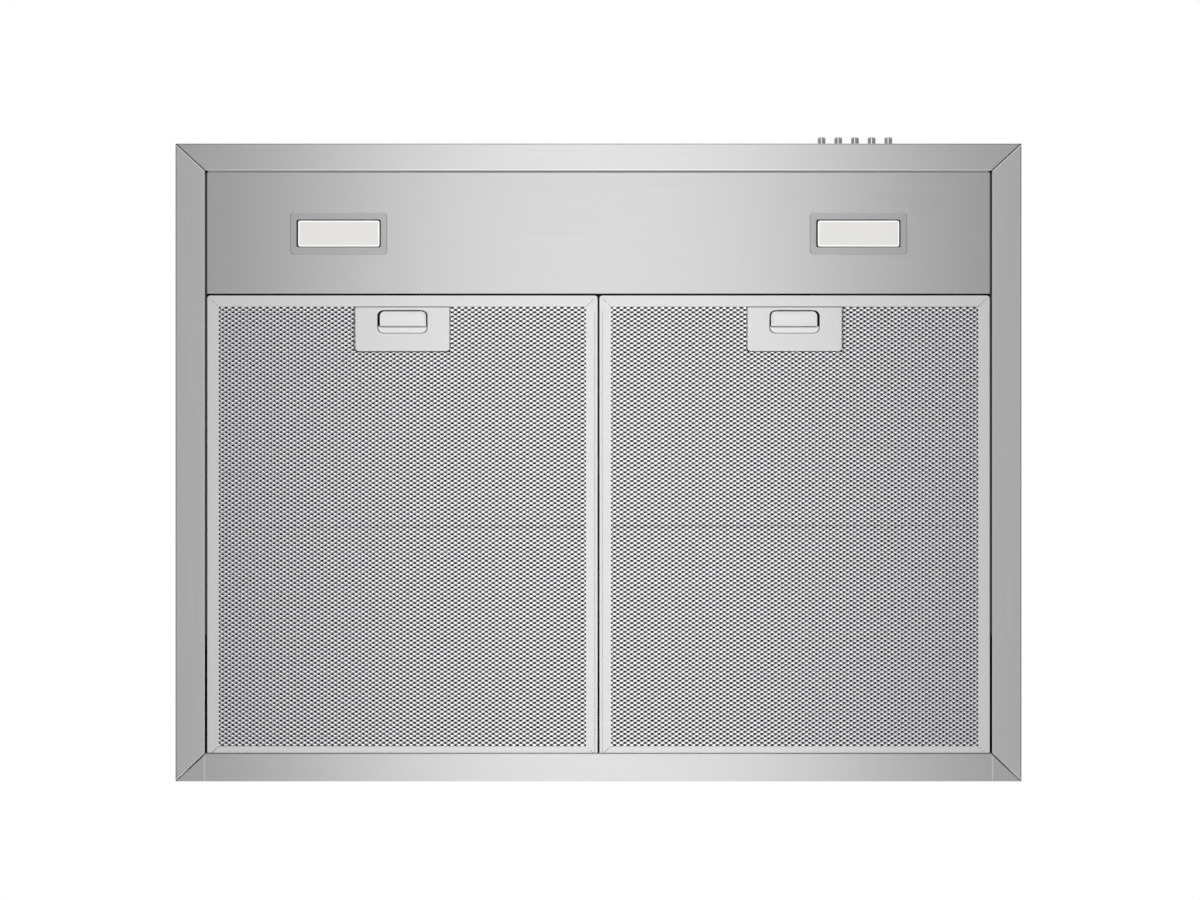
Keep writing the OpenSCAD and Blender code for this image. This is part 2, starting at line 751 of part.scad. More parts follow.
module junction_box() {
    color("darkgray") difference() {
        span([-inlet_x - junction_w / 2, back_in - junction_d, junction_z],
            [-inlet_x + junction_w / 2, back_in, junction_z + junction_h]);
        span([-inlet_x - junction_w / 2 + box_wall, back_in - junction_d - cut, junction_z + box_wall],
            [-inlet_x + junction_w / 2 - box_wall, back_in - box_wall, junction_z + junction_h - box_wall]);
        rod_y([-inlet_x, back_in - 2 * box_wall, inlet_z], gland_r + hole_gap, 3 * box_wall);
        for (s = [-1, 1]) translate([s * (junction_w - box_wall) / 2, 0, 0])
            rod_x([-inlet_x - box_wall, -loom_wall_y, loom_box_z], loom_r + hole_gap, 2 * box_wall);
    }
}

module junction_cover() {
    y0 = back_in - junction_d;
    color("silver") {
        span([-inlet_x - junction_w / 2, y0 - sheet_t, junction_z],
            [-inlet_x + junction_w / 2, y0, junction_z + junction_h]);
        for (s = [-1, 1]) rod_y([
            s * (junction_w / 2 - 10) - inlet_x, y0 - sheet_t - screw_head_h, junction_z + junction_h / 2
        ], screw_head_r, screw_head_h);
    }
}

module terminal_block() {
    y1 = back_in - box_wall;
    z0 = junction_z + junction_h - 18;
    color("white") difference() {
        span([-inlet_x - 24, y1 - 14, z0], [-inlet_x + 24, y1, z0 + 14]);
        for (i = [-1:1]) {
            rod_y([-inlet_x + i * 14, y1 - 14 - cut, z0 + 7], 2.5, 6 + cut);
            translate([-inlet_x + i * 14, y1 - 5, z0 - cut]) cylinder(h = 8, r = 2);
        }
    }
}

// Bushing in the knockout: a collar inside the box and a body through both sheets
module cable_bushing() {
    color("dimgray") translate([-inlet_x, 0, inlet_z]) rotate([90, 0, 0]) difference() {
        union() {
            cylinder(h = gland_len, r = gland_r);
            translate([0, 0, sheet_t + box_wall]) cylinder(h = 3, r = gland_r + 3);
        }
        translate([0, 0, -cut]) cylinder(h = gland_len + 2 * cut, r = inlet_bore_r);
    }
}

module led_driver() {
    color("white") translate([driver_x, 0, driver_z]) {
        translate([0, back_in, 0]) rotate([90, 0, 0]) linear_extrude(driver_d)
            round_rect(driver_w - 2 * driver_foot, driver_h, 3);
        difference() {
            span([-driver_w / 2, back_in - 2 * sheet_t, 2 - driver_foot],
                [driver_w / 2, back_in, driver_foot - 2]);
            for (s = [-1, 1])
                rod_y([s * (driver_w - driver_foot) / 2, back_in - 3 * sheet_t, 0], 2, 4 * sheet_t);
        }
    }
}

// Motor capacitor standing on its stud against the back panel
module motor_capacitor() {
    color("whitesmoke") translate([capacitor_x, back_in, capacitor_z]) rotate([90, 0, 0]) {
        cylinder(h = capacitor_len, r = capacitor_r);
        translate([0, 0, capacitor_len + blade_tab / 2]) for (s = [-1, 1])
            translate([s * 5, 0, 0]) cube([1, blade_tab, blade_tab], center = true);
    }
}

// Wiring held in the hood: along the front of the light panel, up the left side and to the motor
loom_wall_y = 12;
loom_box_z = junction_z + 15;
loom_y = panel_front + sheet_t + loom_r + 2;
loom_z = panel_top + loom_r + 0.1;
loom_over_z = rail_h + loom_r + 5;
loom_side_x = half_w - sheet_t - loom_r - 2;
loom_bend = 1.3 * loom_r;
tube_n = 8;
loom_route = [
    [button_x, plate_back + switch_d, button_z], [button_x, loom_y, button_z], [button_x, loom_y, loom_z],
    [-tray_x + 12, loom_y, loom_z], [-tray_x + 12, loom_y, loom_over_z], [-loom_side_x, loom_y, loom_over_z],
    [-loom_side_x, loom_y, sheet_t + loom_r + 0.1], [-loom_side_x, -loom_wall_y, sheet_t + loom_r + 0.1],
    [-loom_side_x, -loom_wall_y, band_h - 10], [-inlet_x - junction_w / 2 - 20, -loom_wall_y, loom_box_z],
    [-inlet_x - junction_w / 2 + 6, -loom_wall_y, loom_box_z]
];
motor_route = [
    [-inlet_x + junction_w / 2 - 6, -loom_wall_y, loom_box_z],
    [-inlet_x + junction_w / 2 + 20, -loom_wall_y, loom_box_z],
    [-scroll_w / 2 - 50, -40, inlet_z + 40], [-scroll_w / 2 - 30, -fan_y, fan_z - 20],
    [-scroll_w / 2 - 24, -fan_y, fan_z], [motor_face, -fan_y, fan_z]
];

// Tube along a route whose corners are rounded, as rings of points carried along it
function unit(v) = v / norm(v);
function corner_point(p, a, b, t) = (1 - t) * (1 - t) * a + 2 * t * (1 - t) * p + t * t * b;
function rounded(route) = concat([route[0]], [
    for (i = [1:len(route) - 2], t = [0, 1 / 3, 2 / 3, 1])
        let (p = route[i], back = unit(p - route[i - 1]), on = unit(route[i + 1] - p))
            corner_point(p, p - loom_bend * back, p + loom_bend * on, t)
], [route[len(route) - 1]]);
function headings(p) = [for (i = [0:len(p) - 1]) unit(p[min(i + 1, len(p) - 1)] - p[max(i - 1, 0)])];
function carried(way, side, i) = i == len(way) ? [] :
    let (next = unit(side - (side * way[i]) * way[i])) concat([next], carried(way, next, i + 1));

module tube(route, r) {
    line = rounded(route);
    way = headings(line);
    start = abs(way[0][2]) < 0.9 ? [0, 0, 1] : [1, 0, 0];
    side = carried(way, start, 0);
    last = (len(line) - 1) * tube_n;
    points = [for (i = [0:len(line) - 1], k = [0:tube_n - 1])
        let (a = k * 360 / tube_n) line[i] + r * (cos(a) * side[i] + sin(a) * cross(way[i], side[i]))];
    walls = [for (i = [0:len(line) - 2], k = [0:tube_n - 1], half = [0, 1])
        let (a = i * tube_n + k, b = i * tube_n + (k + 1) % tube_n)
            half == 0 ? [a, a + tube_n, b + tube_n] : [a, b + tube_n, b]];
    caps = [for (k = [1:tube_n - 2], half = [0, 1])
        half == 0 ? [0, k, k + 1] : [last, last + k + 1, last + k]];
    polyhedron(points, concat(walls, caps));
}

module wiring_loom() {
    stub_y = loom_y + loom_r + slide_gap;
    color("black") {
        tube(loom_route, loom_r);
        tube(motor_route, loom_r);
        for (s = [-1, 1])
            rod_y([s * lamp_x * 0.9, stub_y, loom_z], loom_r - 1, lamp_y - housing_d / 2 - stub_y);
    }
}

// Screw places on the blower box: its flanges on the canopy's top
flange_out = chimney_w / 2 - chimney_t;
flange_mid = (top_w / 2 - top_lip_w + flange_out) / 2;
flange_places = [for (x = [-1, 1], y = [box_front + 30, box_rear - 30]) [x * flange_mid, y]];
hang_places = [for (x = [-1, 1], y = [tongue_y - 20, -fan_y - scroll_out + 20]) [x * (scroll_w / 2 + 9), y]];
arm_angles = [90, 210, 330];
tab_places = [box_front + 35, box_rear - 45];

module blower_box() {
    color("silver") difference() {
        union() {
            difference() {
                span([-box_w / 2, box_front, top_z], [box_w / 2, box_rear, box_top]);
                span([-box_w / 2 + sheet_t, box_front + sheet_t, top_z - cut],
                    [box_w / 2 - sheet_t, box_rear - sheet_t, box_top - sheet_t]);
            }
            for (s = [-1, 1]) sided(s) {
                span([box_w / 2 - sheet_t, box_front, top_z], [flange_out, box_rear, top_z + sheet_t]);
                for (y = tab_places)
                    span([flange_out - sheet_t, y - 15, top_z], [flange_out, y + 15, top_z + tab_h]);
            }
        }
        translate([0, duct_y, box_top - 2 * sheet_t]) cylinder(h = 4 * sheet_t, r = duct_r - duct_t);
        for (p = flange_places) translate([p[0], p[1], top_z]) screw_hole(sheet_t);
        for (p = hang_places) translate([p[0], p[1], box_top - sheet_t]) screw_hole(sheet_t);
        for (s = [-1, 1], y = tab_places) sided(s)
            translate([flange_out - sheet_t, y, tab_z]) rotate([0, 90, 0]) screw_hole(sheet_t);
    }
}

module blower_screws() {
    color("gray") {
        for (p = flange_places) translate([p[0], p[1], top_z + sheet_t])
            rotate([180, 0, 0]) screw(2 * sheet_t + 1);
        for (p = hang_places) translate([p[0], p[1], box_top])
            rotate([180, 0, 0]) screw(2 * sheet_t + 1);
        for (a = arm_angles) translate([0, -fan_y, fan_z]) rotate([a, 0, 0])
            translate([motor_face - arm_t, 0, arm_r]) rotate([0, 90, 0])
                screw(arm_t + 2 - motor_face - scroll_w / 2);
    }
}

// Scroll outline in Y and Z about the fan's axis
function scroll_r(a) = scroll_in + scroll_grow * (tongue_a - a) / (tongue_a + 180);
function spiral(t) = [for (i = [0:spiral_steps]) let (a = tongue_a - i * (tongue_a + 180) / spiral_steps)
    [-fan_y + (scroll_r(a) + t) * cos(a), fan_z + (scroll_r(a) + t) * sin(a)]];
tongue_z = fan_z + scroll_in * sin(tongue_a);
outer_line = concat(
    [[tongue_y + sheet_t, box_top - sheet_t], [tongue_y + sheet_t, tongue_z]],
    [for (i = [1:spiral_steps]) spiral(sheet_t)[i]],
    [[-fan_y - scroll_out - sheet_t, box_top - sheet_t]]
);
inner_line = concat(
    [[-fan_y - scroll_out, box_top - sheet_t]],
    [for (i = [0:spiral_steps]) spiral(0)[spiral_steps - i]],
    [[tongue_y, box_top - sheet_t]]
);

module scroll_wrap() {
    color("lightgray") along_x(-scroll_w / 2, scroll_w) polygon(concat(outer_line, inner_line));
}

module scroll_plate(side) {
    x0 = scroll_w / 2;
    color("lightgray") sided(side) difference() {
        union() {
            along_x(x0, sheet_t) polygon(outer_line);
            span([x0, -fan_y - scroll_out + 5, box_top - 2 * sheet_t],
                [x0 + hang_w, tongue_y - 5, box_top - sheet_t]);
            rod_x([x0 - bell_len, -fan_y, fan_z], inlet_r, bell_len);
        }
        rod_x([x0 - bell_len - cut, -fan_y, fan_z], inlet_r - sheet_t, bell_len + sheet_t + 2 * cut);
        for (p = hang_places) if (p[0] > 0)
            translate([p[0], p[1], box_top - 2 * sheet_t]) screw_hole(sheet_t);
        if (side < 0) for (a = arm_angles) translate([0, -fan_y, fan_z]) rotate([a, 0, 0])
            rod_x([x0 - cut, 0, arm_r], screw_r + hole_gap, sheet_t + 2 * cut);
    }
}

module motor() {
    color("dimgray") translate([0, -fan_y, fan_z]) difference() {
        union() {
            rod_x([motor_face + 6, 0, 0], motor_r, motor_end - motor_face - 12);
            rod_x([motor_face, 0, 0], motor_r - 8, motor_end - motor_face - 4);
            rod_x([motor_end - 5, 0, 0], shaft_r + 6, 5);
        }
        rod_x([motor_face + 8, 0, 0], shaft_r + run_gap, motor_end - motor_face);
    }
}

module motor_shaft() {
    color("silver") rod_x([motor_face + 9, -fan_y, fan_z], shaft_r, hub_len - motor_face - 9 + 2);
}

module motor_bracket() {
    color("gray") translate([0, -fan_y, fan_z]) difference() {
        union() {
            rod_x([motor_face - arm_t, 0, 0], motor_r - 4, arm_t);
            for (a = arm_angles) rotate([a, 0, 0])
                span([motor_face - arm_t, -arm_w / 2, 0], [motor_face, arm_w / 2, arm_r + 8]);
        }
        rod_x([motor_face - arm_t - cut, 0, 0], 12, arm_t + 2 * cut);
        for (a = arm_angles) rotate([a, 0, 0])
            rod_x([motor_face - arm_t - cut, 0, arm_r], screw_r + hole_gap, arm_t + 2 * cut);
    }
}

module motor_grommets() {
    plate_x = -scroll_w / 2 - sheet_t;
    color("black") translate([0, -fan_y, fan_z]) for (a = arm_angles) rotate([a, 0, 0]) difference() {
        rod_x([motor_face, 0, arm_r], grommet_r, plate_x - motor_face);
        rod_x([motor_face - cut, 0, arm_r], screw_r + hole_gap, plate_x - motor_face + 2 * cut);
    }
}

// One curved blade, seen along the axis, leaning forward at its outer edge
function blade_point(u, t) = let (r = blade_in_r + (fan_r - blade_in_r - 0.2) * u, a = 9 * u * u)
    [(r + t) * cos(a), (r + t) * sin(a) + t];
module blade_outline() polygon(concat(
    [for (i = [0:4]) blade_point(i / 4, 0)],
    [for (i = [4:-1:0]) blade_point(i / 4, 0) + [0, blade_t]]
));

module impeller() {
    color("gray") translate([0, -fan_y, fan_z]) rotate([0, 90, 0]) difference() {
        union() {
            for (i = [0:blade_n - 1]) rotate([0, 0, i * 360 / blade_n])
                translate([0, 0, -fan_w / 2]) linear_extrude(fan_w) blade_outline();
            for (z = [-fan_w / 2, fan_w / 2 - ring_t]) translate([0, 0, z]) difference() {
                cylinder(h = ring_t, r = fan_r);
                translate([0, 0, -cut]) cylinder(h = ring_t + 2 * cut, r = fan_r - 4);
            }
            cylinder(h = ring_t, r = fan_r);
            cylinder(h = hub_len, r = hub_r);
        }
        translate([0, 0, -cut]) cylinder(h = hub_len + 2 * cut, r = shaft_r);
    }
}

module duct_collar() {
    color("gainsboro") translate([0, duct_y, 0]) difference() {
        union() {
            translate([0, 0, box_top]) cylinder(h = duct_h, r = duct_r);
            translate([0, 0, box_top]) cylinder(h = duct_t, r = duct_r + collar_flange);
        }
        translate([0, 0, box_top - cut]) cylinder(h = duct_h + 2 * cut, r = duct_r - duct_t);
        rod_x([-duct_r - cut, 0, pin_z], pin_r, 2 * duct_r + 2 * cut);
    }
    // Stops under the flaps
    color("gainsboro") translate([0, duct_y, 0]) for (s = [-1, 1]) intersection() {
        difference() {
            translate([0, 0, pin_z - flap_t / 2 - seat_gap - 4]) cylinder(h = 4, r = duct_r - duct_t / 2);
            translate([0, 0, pin_z - 10]) cylinder(h = 20, r = flap_r - 4);
        }
        span([-6, s > 0 ? 0 : -duct_r, box_top], [6, s > 0 ? duct_r : 0, duct_top]);
    }
}

module damper_pin() {
    len = 2 * duct_r - 1;
    color("silver") rod_x([-len / 2, duct_y, pin_z], pin_r, len);
}

// Half-round flap on knuckles around the pin, drawn for the rear
module damper_flap(knuckles) {
    difference() {
        union() {
            intersection() {
                translate([0, 0, -flap_t / 2]) cylinder(h = flap_t, r = flap_r);
                span([-flap_r, flap_off, -flap_t], [flap_r, flap_r + cut, flap_t]);
            }
            for (x = knuckles) {
                rod_x([x - knuckle_w / 2, 0, 0], knuckle_r, knuckle_w);
                span([x - knuckle_w / 2, 0, -flap_t / 2], [x + knuckle_w / 2, flap_off + cut, flap_t / 2]);
            }
        }
        rod_x([-flap_r, 0, 0], pin_r + run_gap, 2 * flap_r);
    }
}

module damper_flap_rear() {
    color("lightgray") translate([0, duct_y, pin_z]) damper_flap([-30, 44]);
}

module damper_flap_front() {
    color("lightgray") translate([0, duct_y, pin_z]) mirror([0, 1, 0]) damper_flap([-44, 30]);
}

// Open-backed cover, set in by d from the lower cover's outside, with turned-in rear lips
module chimney_cover(d, z0, z1) {
    x1 = chimney_w / 2 - d;
    difference() {
        span([-x1, d - chimney_d, z0], [x1, -d, z1]);
        span([chimney_t - x1, d + chimney_t - chimney_d, z0 - cut],
            [x1 - chimney_t, -d - chimney_t, z1 + cut]);
        span([chimney_lip_w - x1, -d - 2 * chimney_t, z0 - cut], [x1 - chimney_lip_w, cut, z1 + cut]);
    }
}

module chimney_lower() {
    color("silver") difference() {
        chimney_cover(0, top_z, chimney_top);
        for (s = [-1, 1], y = tab_places) sided(s)
            translate([chimney_w / 2 - chimney_t, y, tab_z]) rotate([0, 90, 0]) screw_hole(chimney_t);
    }
}

module chimney_screws() {
    color("gray") for (s = [-1, 1], y = tab_places) sided(s)
        translate([chimney_w / 2, y, tab_z]) rotate([0, -90, 0]) screw(chimney_t + sheet_t + 1.5);
}

module chimney_upper() {
    x1 = chimney_w / 2 - inset;
    slot_n = 6;
    slot_len = 120;
    color("silver") difference() {
        chimney_cover(inset, upper_z, upper_top);
        for (i = [0:slot_n - 1]) span([-x1 - cut, -chimney_d / 2 - slot_len / 2, upper_top - 62 + i * 7],
            [x1 + cut, -chimney_d / 2 + slot_len / 2, upper_top - 59 + i * 7]);
        for (s = [-1, 1]) sided(s)
            translate([x1 - chimney_t, bracket_screw_y, bracket_z]) rotate([0, 90, 0]) screw_hole(chimney_t);
    }
}

// Strip behind the upper cover, with feet on the wall and ends turned forward
module chimney_bracket() {
    x1 = chimney_w / 2 - inset - chimney_t;
    color("darkgray") difference() {
        union() {
            span([-x1, bracket_y - chimney_t - bracket_t, bracket_z - bracket_h / 2],
                [x1, bracket_y - chimney_t, bracket_z + bracket_h / 2]);
            for (s = [-1, 1]) sided(s) {
                span([x1 - bracket_t, bracket_y - bracket_arm, bracket_z - bracket_h / 2],
                    [x1, bracket_y - chimney_t, bracket_z + bracket_h / 2]);
                rod_y([bracket_dx / 2, bracket_y - chimney_t - bracket_t, bracket_z], 10,
                    -bracket_y + chimney_t + bracket_t);
            }
        }
        for (s = [-1, 1]) sided(s) {
            rod_y([bracket_dx / 2, bracket_y - 10, bracket_z], bracket_hole_r, 20);
            translate([x1 - bracket_t, bracket_screw_y, bracket_z]) rotate([0, 90, 0]) screw_hole(bracket_t);
        }
    }
}

module bracket_screws() {
    color("gray") for (s = [-1, 1]) sided(s)
        translate([chimney_w / 2 - inset, bracket_screw_y, bracket_z]) rotate([0, -90, 0])
            screw(chimney_t + bracket_t + 1.5);
}

canopy_shell();
back_panel();
panel_rivets();
side_rail(-1);  // side_rail_left
side_rail(1);  // side_rail_right
light_panel();
light_panel_screws();
lamp_bezel(-1);  // lamp_bezel_left
lamp_bezel(1);  // lamp_bezel_right
lamp_lens(-1);  // lamp_lens_left
lamp_lens(1);  // lamp_lens_right
lamp_housing(-1);  // lamp_housing_left
lamp_housing(1);  // lamp_housing_right
led_board(-1);  // led_board_left
led_board(1);  // led_board_right
switch_block();
switch_bracket();
button(0);  // button_light
button(1);  // button_off
button(2);  // button_low
button(3);  // button_medium
button(4);  // button_high
filter_frame(-1);  // filter_frame_left
filter_frame(1);  // filter_frame_right
filter_mesh(-1);  // filter_mesh_left
filter_mesh(1);  // filter_mesh_right
filter_core(-1);  // filter_core_left
filter_core(1);  // filter_core_right
latch_plate(-1);  // latch_plate_left
latch_plate(1);  // latch_plate_right
latch_slider(-1);  // latch_slider_left
latch_slider(1);  // latch_slider_right
latch_spring(-1);  // latch_spring_left
latch_spring(1);  // latch_spring_right
junction_box();
junction_cover();
terminal_block();
cable_bushing();
led_driver();
motor_capacitor();
wiring_loom();
blower_box();
blower_screws();
scroll_wrap();
scroll_plate(-1);  // scroll_plate_left
scroll_plate(1);  // scroll_plate_right
motor();
motor_shaft();
motor_bracket();
motor_grommets();
impeller();
duct_collar();
damper_pin();
damper_flap_front();
damper_flap_rear();
chimney_lower();
chimney_upper();
chimney_bracket();
chimney_screws();
bracket_screws();
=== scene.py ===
import math

import bpy
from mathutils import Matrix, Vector


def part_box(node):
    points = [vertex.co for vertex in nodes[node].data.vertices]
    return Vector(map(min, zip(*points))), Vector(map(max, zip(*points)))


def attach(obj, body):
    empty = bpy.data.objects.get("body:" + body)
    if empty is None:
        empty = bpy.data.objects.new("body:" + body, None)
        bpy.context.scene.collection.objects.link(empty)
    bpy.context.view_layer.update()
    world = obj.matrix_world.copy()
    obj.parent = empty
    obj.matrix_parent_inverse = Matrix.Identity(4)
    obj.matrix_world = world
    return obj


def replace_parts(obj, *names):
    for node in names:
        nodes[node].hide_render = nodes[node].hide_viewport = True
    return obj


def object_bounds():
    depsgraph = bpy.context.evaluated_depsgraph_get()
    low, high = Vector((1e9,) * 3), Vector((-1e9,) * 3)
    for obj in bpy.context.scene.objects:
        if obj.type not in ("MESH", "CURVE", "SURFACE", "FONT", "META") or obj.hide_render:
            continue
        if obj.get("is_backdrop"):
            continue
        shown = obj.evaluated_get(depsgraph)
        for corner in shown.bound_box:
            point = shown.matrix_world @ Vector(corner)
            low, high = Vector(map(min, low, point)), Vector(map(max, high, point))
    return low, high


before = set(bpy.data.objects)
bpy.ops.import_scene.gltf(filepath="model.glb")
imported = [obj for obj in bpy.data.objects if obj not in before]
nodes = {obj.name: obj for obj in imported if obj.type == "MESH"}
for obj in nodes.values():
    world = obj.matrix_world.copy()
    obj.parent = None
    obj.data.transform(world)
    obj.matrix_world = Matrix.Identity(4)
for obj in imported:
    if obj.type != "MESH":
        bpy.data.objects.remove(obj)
cad_low, cad_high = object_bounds()
MM = 0.001

# Canopy shell, back panel and chimney covers: 1 mm and 0.8 mm stainless sheet, folded, welded at the
# corners and brushed with a fine belt. The canopy is brushed along its width, its side walls and the rim's
# side strips along their depth, and the chimney upwards. The strips of the rim meet in mitred seams. On the
# rim, painted shade darkens the outer folds and the rear fold, a painted shadow darkens each seam, and
# painted highlights brighten the opening's inner edge and the strip beside each seam.
STRIP_SIDE, STRIP_END = 26.4 * MM, 24.3 * MM
strip_rear = -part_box("back_panel")[0].y
hood_deep = -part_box("canopy_shell")[0].y
# Points closer than NEAR are one point, and FAR stands for no limit in a test of distance
NEAR, FAR = 0.01 * MM, 1000 * MM
MATH = "ShaderNodeMath"


def linear(code):
    """An sRGB hex colour in linear light."""
    channels = [int(code[i:i + 2], 16) / 255 for i in (1, 3, 5)]
    return [c / 12.92 if c <= 0.04045 else ((c + 0.055) / 1.055) ** 2.4 for c in channels] + [1.0]


def add_node(tree, kind, inputs=(), **settings):
    """Adds a node with its settings. Each input gets a value, or a link from a socket or a node's first."""
    made = tree.nodes.new(kind)
    for key, value in settings.items():
        setattr(made, key, value)
    for key, value in dict(inputs).items():
        if isinstance(value, bpy.types.Node):
            value = value.outputs[0]
        if isinstance(value, bpy.types.NodeSocket):
            tree.links.new(value, made.inputs[key])
        else:
            made.inputs[key].default_value = value
    return made


def new_material(name, **finish):
    """A material of one Principled shader, with its sockets set."""
    material = bpy.data.materials.new(name)
    material.use_nodes = True
    tree = material.node_tree
    tree.nodes.clear()
    sockets = {key.replace("_", " "): value for key, value in finish.items()}
    shader = add_node(tree, "ShaderNodeBsdfPrincipled", sockets)
    add_node(tree, "ShaderNodeOutputMaterial", {"Surface": shader})
    return material, tree, shader


def grain(tree, x, y, z):
    """Noise on Object coordinates, with so many grains a millimetre along X, Y and Z."""
    place = add_node(tree, "ShaderNodeTexCoord").outputs["Object"]
    stretch = add_node(tree, "ShaderNodeMapping", {"Vector": place, "Scale": (x / MM, y / MM, z / MM)})
    return add_node(tree, "ShaderNodeTexNoise",
                    {"Vector": stretch, "Scale": 1.0, "Detail": 3.0, "Roughness": 0.6}).outputs[0]


def vary_gloss(tree, shader, pattern, low, high):
    """Lets the shader's roughness follow a pattern from low to high."""
    rough = add_node(tree, "ShaderNodeMapRange", {"Value": pattern, "To Min": low, "To Max": high})
    tree.links.new(rough.outputs[0], shader.inputs["Roughness"])


def raise_surface(tree, shader, pattern, strength, height):
    """Lets the surface stand up with a pattern, by up to the given height."""
    raised = add_node(tree, "ShaderNodeBump", {"Strength": strength, "Distance": height, "Height": pattern})
    tree.links.new(raised.outputs[0], shader.inputs["Normal"])


def region(tree, *tests):
    """A mask that is 1 where each tested distance lies between its two limits, and 0 elsewhere."""
    mask = None
    for value, low, high in tests:
        test = add_node(tree, MATH, {0: value, 1: (low + high) / 2, 2: (high - low) / 2}, operation="COMPARE")
        mask = test if mask is None else add_node(tree, MATH, {0: mask, 1: test}, operation="MULTIPLY")
    return mask


def grain_way_and_painted_lines(tree):
    """A mask of the sheets that are brushed along their depth, and the rim's painted shade and highlight
    lines as masks with tones.
    """
    place = add_node(tree, "ShaderNodeTexCoord")
    x, y, z = add_node(tree, "ShaderNodeSeparateXYZ", {0: place.outputs["Object"]}).outputs
    lean = add_node(tree, "ShaderNodeSeparateXYZ", {0: place.outputs["Normal"]})
    tilt = add_node(tree, MATH, {0: lean}, operation="ABSOLUTE")
    # Distances from the hood's outline to the point
    off_middle = add_node(tree, MATH, {0: x}, operation="ABSOLUTE")
    from_side = add_node(tree, MATH, {0: cad_high.x, 1: off_middle}, operation="SUBTRACT")
    from_front = add_node(tree, MATH, {0: y, 1: hood_deep}, operation="ADD")
    from_rear = add_node(tree, MATH, {0: y, 1: -1.0}, operation="MULTIPLY")
    from_end = add_node(tree, MATH, {0: from_front, 1: from_rear}, operation="MINIMUM")
    from_fold = add_node(tree, MATH, {0: from_front, 1: from_side}, operation="MINIMUM")
    # How far the point lies past a mitred seam toward the side, and past the rim's inner edge
    mitre = add_node(tree, MATH, {0: from_end, 1: STRIP_SIDE / STRIP_END}, operation="MULTIPLY")
    seam = add_node(tree, MATH, {0: mitre, 1: from_side}, operation="SUBTRACT")
    past_side = add_node(tree, MATH, {0: from_side, 1: STRIP_SIDE}, operation="SUBTRACT")
    past_end = add_node(tree, MATH, {0: from_front, 1: STRIP_END}, operation="SUBTRACT")
    inward = add_node(tree, MATH, {0: past_side, 1: past_end}, operation="MINIMUM")

    low = (z, -FAR, 0.6 * MM)
    on_rim = (inward, -FAR, 0.2 * MM)
    walls = add_node(tree, MATH, {0: tilt, 1: 0.6}, operation="GREATER_THAN")
    strips = region(tree, (seam, 0.0, FAR), (from_side, -FAR, STRIP_SIDE + 0.2 * MM), low)
    deep = add_node(tree, MATH, {0: walls, 1: strips}, operation="MAXIMUM")
    # Painted lines: painted shade on the outer folds and the rear fold, a painted shadow in the mitred seams,
    # painted highlights on the opening's inner edge and beside each seam
    outer_fold_painted_shade = region(tree, (from_fold, -FAR, 1.1 * MM), low)
    rear_fold_painted_shade = region(tree, (y, -strip_rear - 0.2 * MM, -strip_rear + 1.0 * MM),
                       (from_side, STRIP_SIDE, FAR), low)
    opening_edge_painted_highlight = region(tree, (inward, -0.9 * MM, 0.2 * MM), low, on_rim)
    seam_edge_painted_highlight = region(tree, (seam, 0.5 * MM, 1.9 * MM), low, on_rim)
    seam_painted_shadow = region(tree, (seam, -0.6 * MM, 0.5 * MM), low, on_rim)
    return deep, ((outer_fold_painted_shade, "#A0A0A2"), (rear_fold_painted_shade, "#747476"), (opening_edge_painted_highlight, "#E2E2E3"),
                  (seam_edge_painted_highlight, "#E2E2E3"), (seam_painted_shadow, "#262627"))


def brushed(name, tone, rough, across, along, upright=False, uneven=0.05, anisotropy=0.5):
    """Brushed sheet metal, with so many grains a millimetre across and along its lines."""
    material, tree, shader = new_material(name, Metallic=1.0, Anisotropic=anisotropy,
                                          Anisotropic_Rotation=0.25)
    painted_lines = ()
    if upright:
        lines = grain(tree, across, across, along)
        way = add_node(tree, "ShaderNodeCombineXYZ", {"Z": 1.0})
    else:
        deep, painted_lines = grain_way_and_painted_lines(tree)
        lines = add_node(tree, "ShaderNodeMix", {0: deep, 2: grain(tree, along, across, across),
                                                 3: grain(tree, across, along, across)}, data_type="FLOAT")
        wide = add_node(tree, MATH, {0: 1.0, 1: deep}, operation="SUBTRACT")
        way = add_node(tree, "ShaderNodeCombineXYZ", {"X": wide, "Y": deep})
    tree.links.new(way.outputs[0], shader.inputs["Tangent"])
    dark, pale = [[c * k for c in linear(tone)[:3]] + [1.0] for k in (1 - uneven, 1 + uneven)]
    shade = add_node(tree, "ShaderNodeMix", {0: lines, 6: dark, 7: pale}, data_type="RGBA")
    # Sheets brushed along their width get the rim's painted shade and highlight lines
    for mask, painted_tone in painted_lines:
        shade = add_node(tree, "ShaderNodeMix", {0: mask, 6: shade.outputs[2], 7: linear(painted_tone)},
                         data_type="RGBA")
    tree.links.new(shade.outputs[2], shader.inputs["Base Color"])
    vary_gloss(tree, shader, lines, rough - 0.06, rough + 0.06)
    raise_surface(tree, shader, lines, 0.15, 0.05 * MM)
    return material


def dress(name, material, edge=0.0, steps=2, curved=False, clamp=False):
    """Gives a CAD node its material, rounds its edges by edge millimetres, and shades curved walls smooth."""
    piece = nodes[name]
    piece.data.materials.clear()
    piece.data.materials.append(material)
    piece.data.polygons.foreach_set("use_smooth", [curved] * len(piece.data.polygons))
    if edge or curved:
        weld = piece.modifiers.new("weld", "WELD")
        weld.merge_threshold = NEAR
        flat = piece.modifiers.new("flat_faces", "DECIMATE")
        flat.decimate_type = "DISSOLVE"
        flat.angle_limit = math.radians(0.5)
        bevel = piece.modifiers.new("edges", "BEVEL")
        bevel.width = edge * MM
        bevel.segments = steps
        bevel.limit_method = "ANGLE"
        bevel.angle_limit = math.radians(30)
        bevel.use_clamp_overlap = clamp
        if curved:
            even = piece.modifiers.new("even_normals", "WEIGHTED_NORMAL")
            even.weight = 100


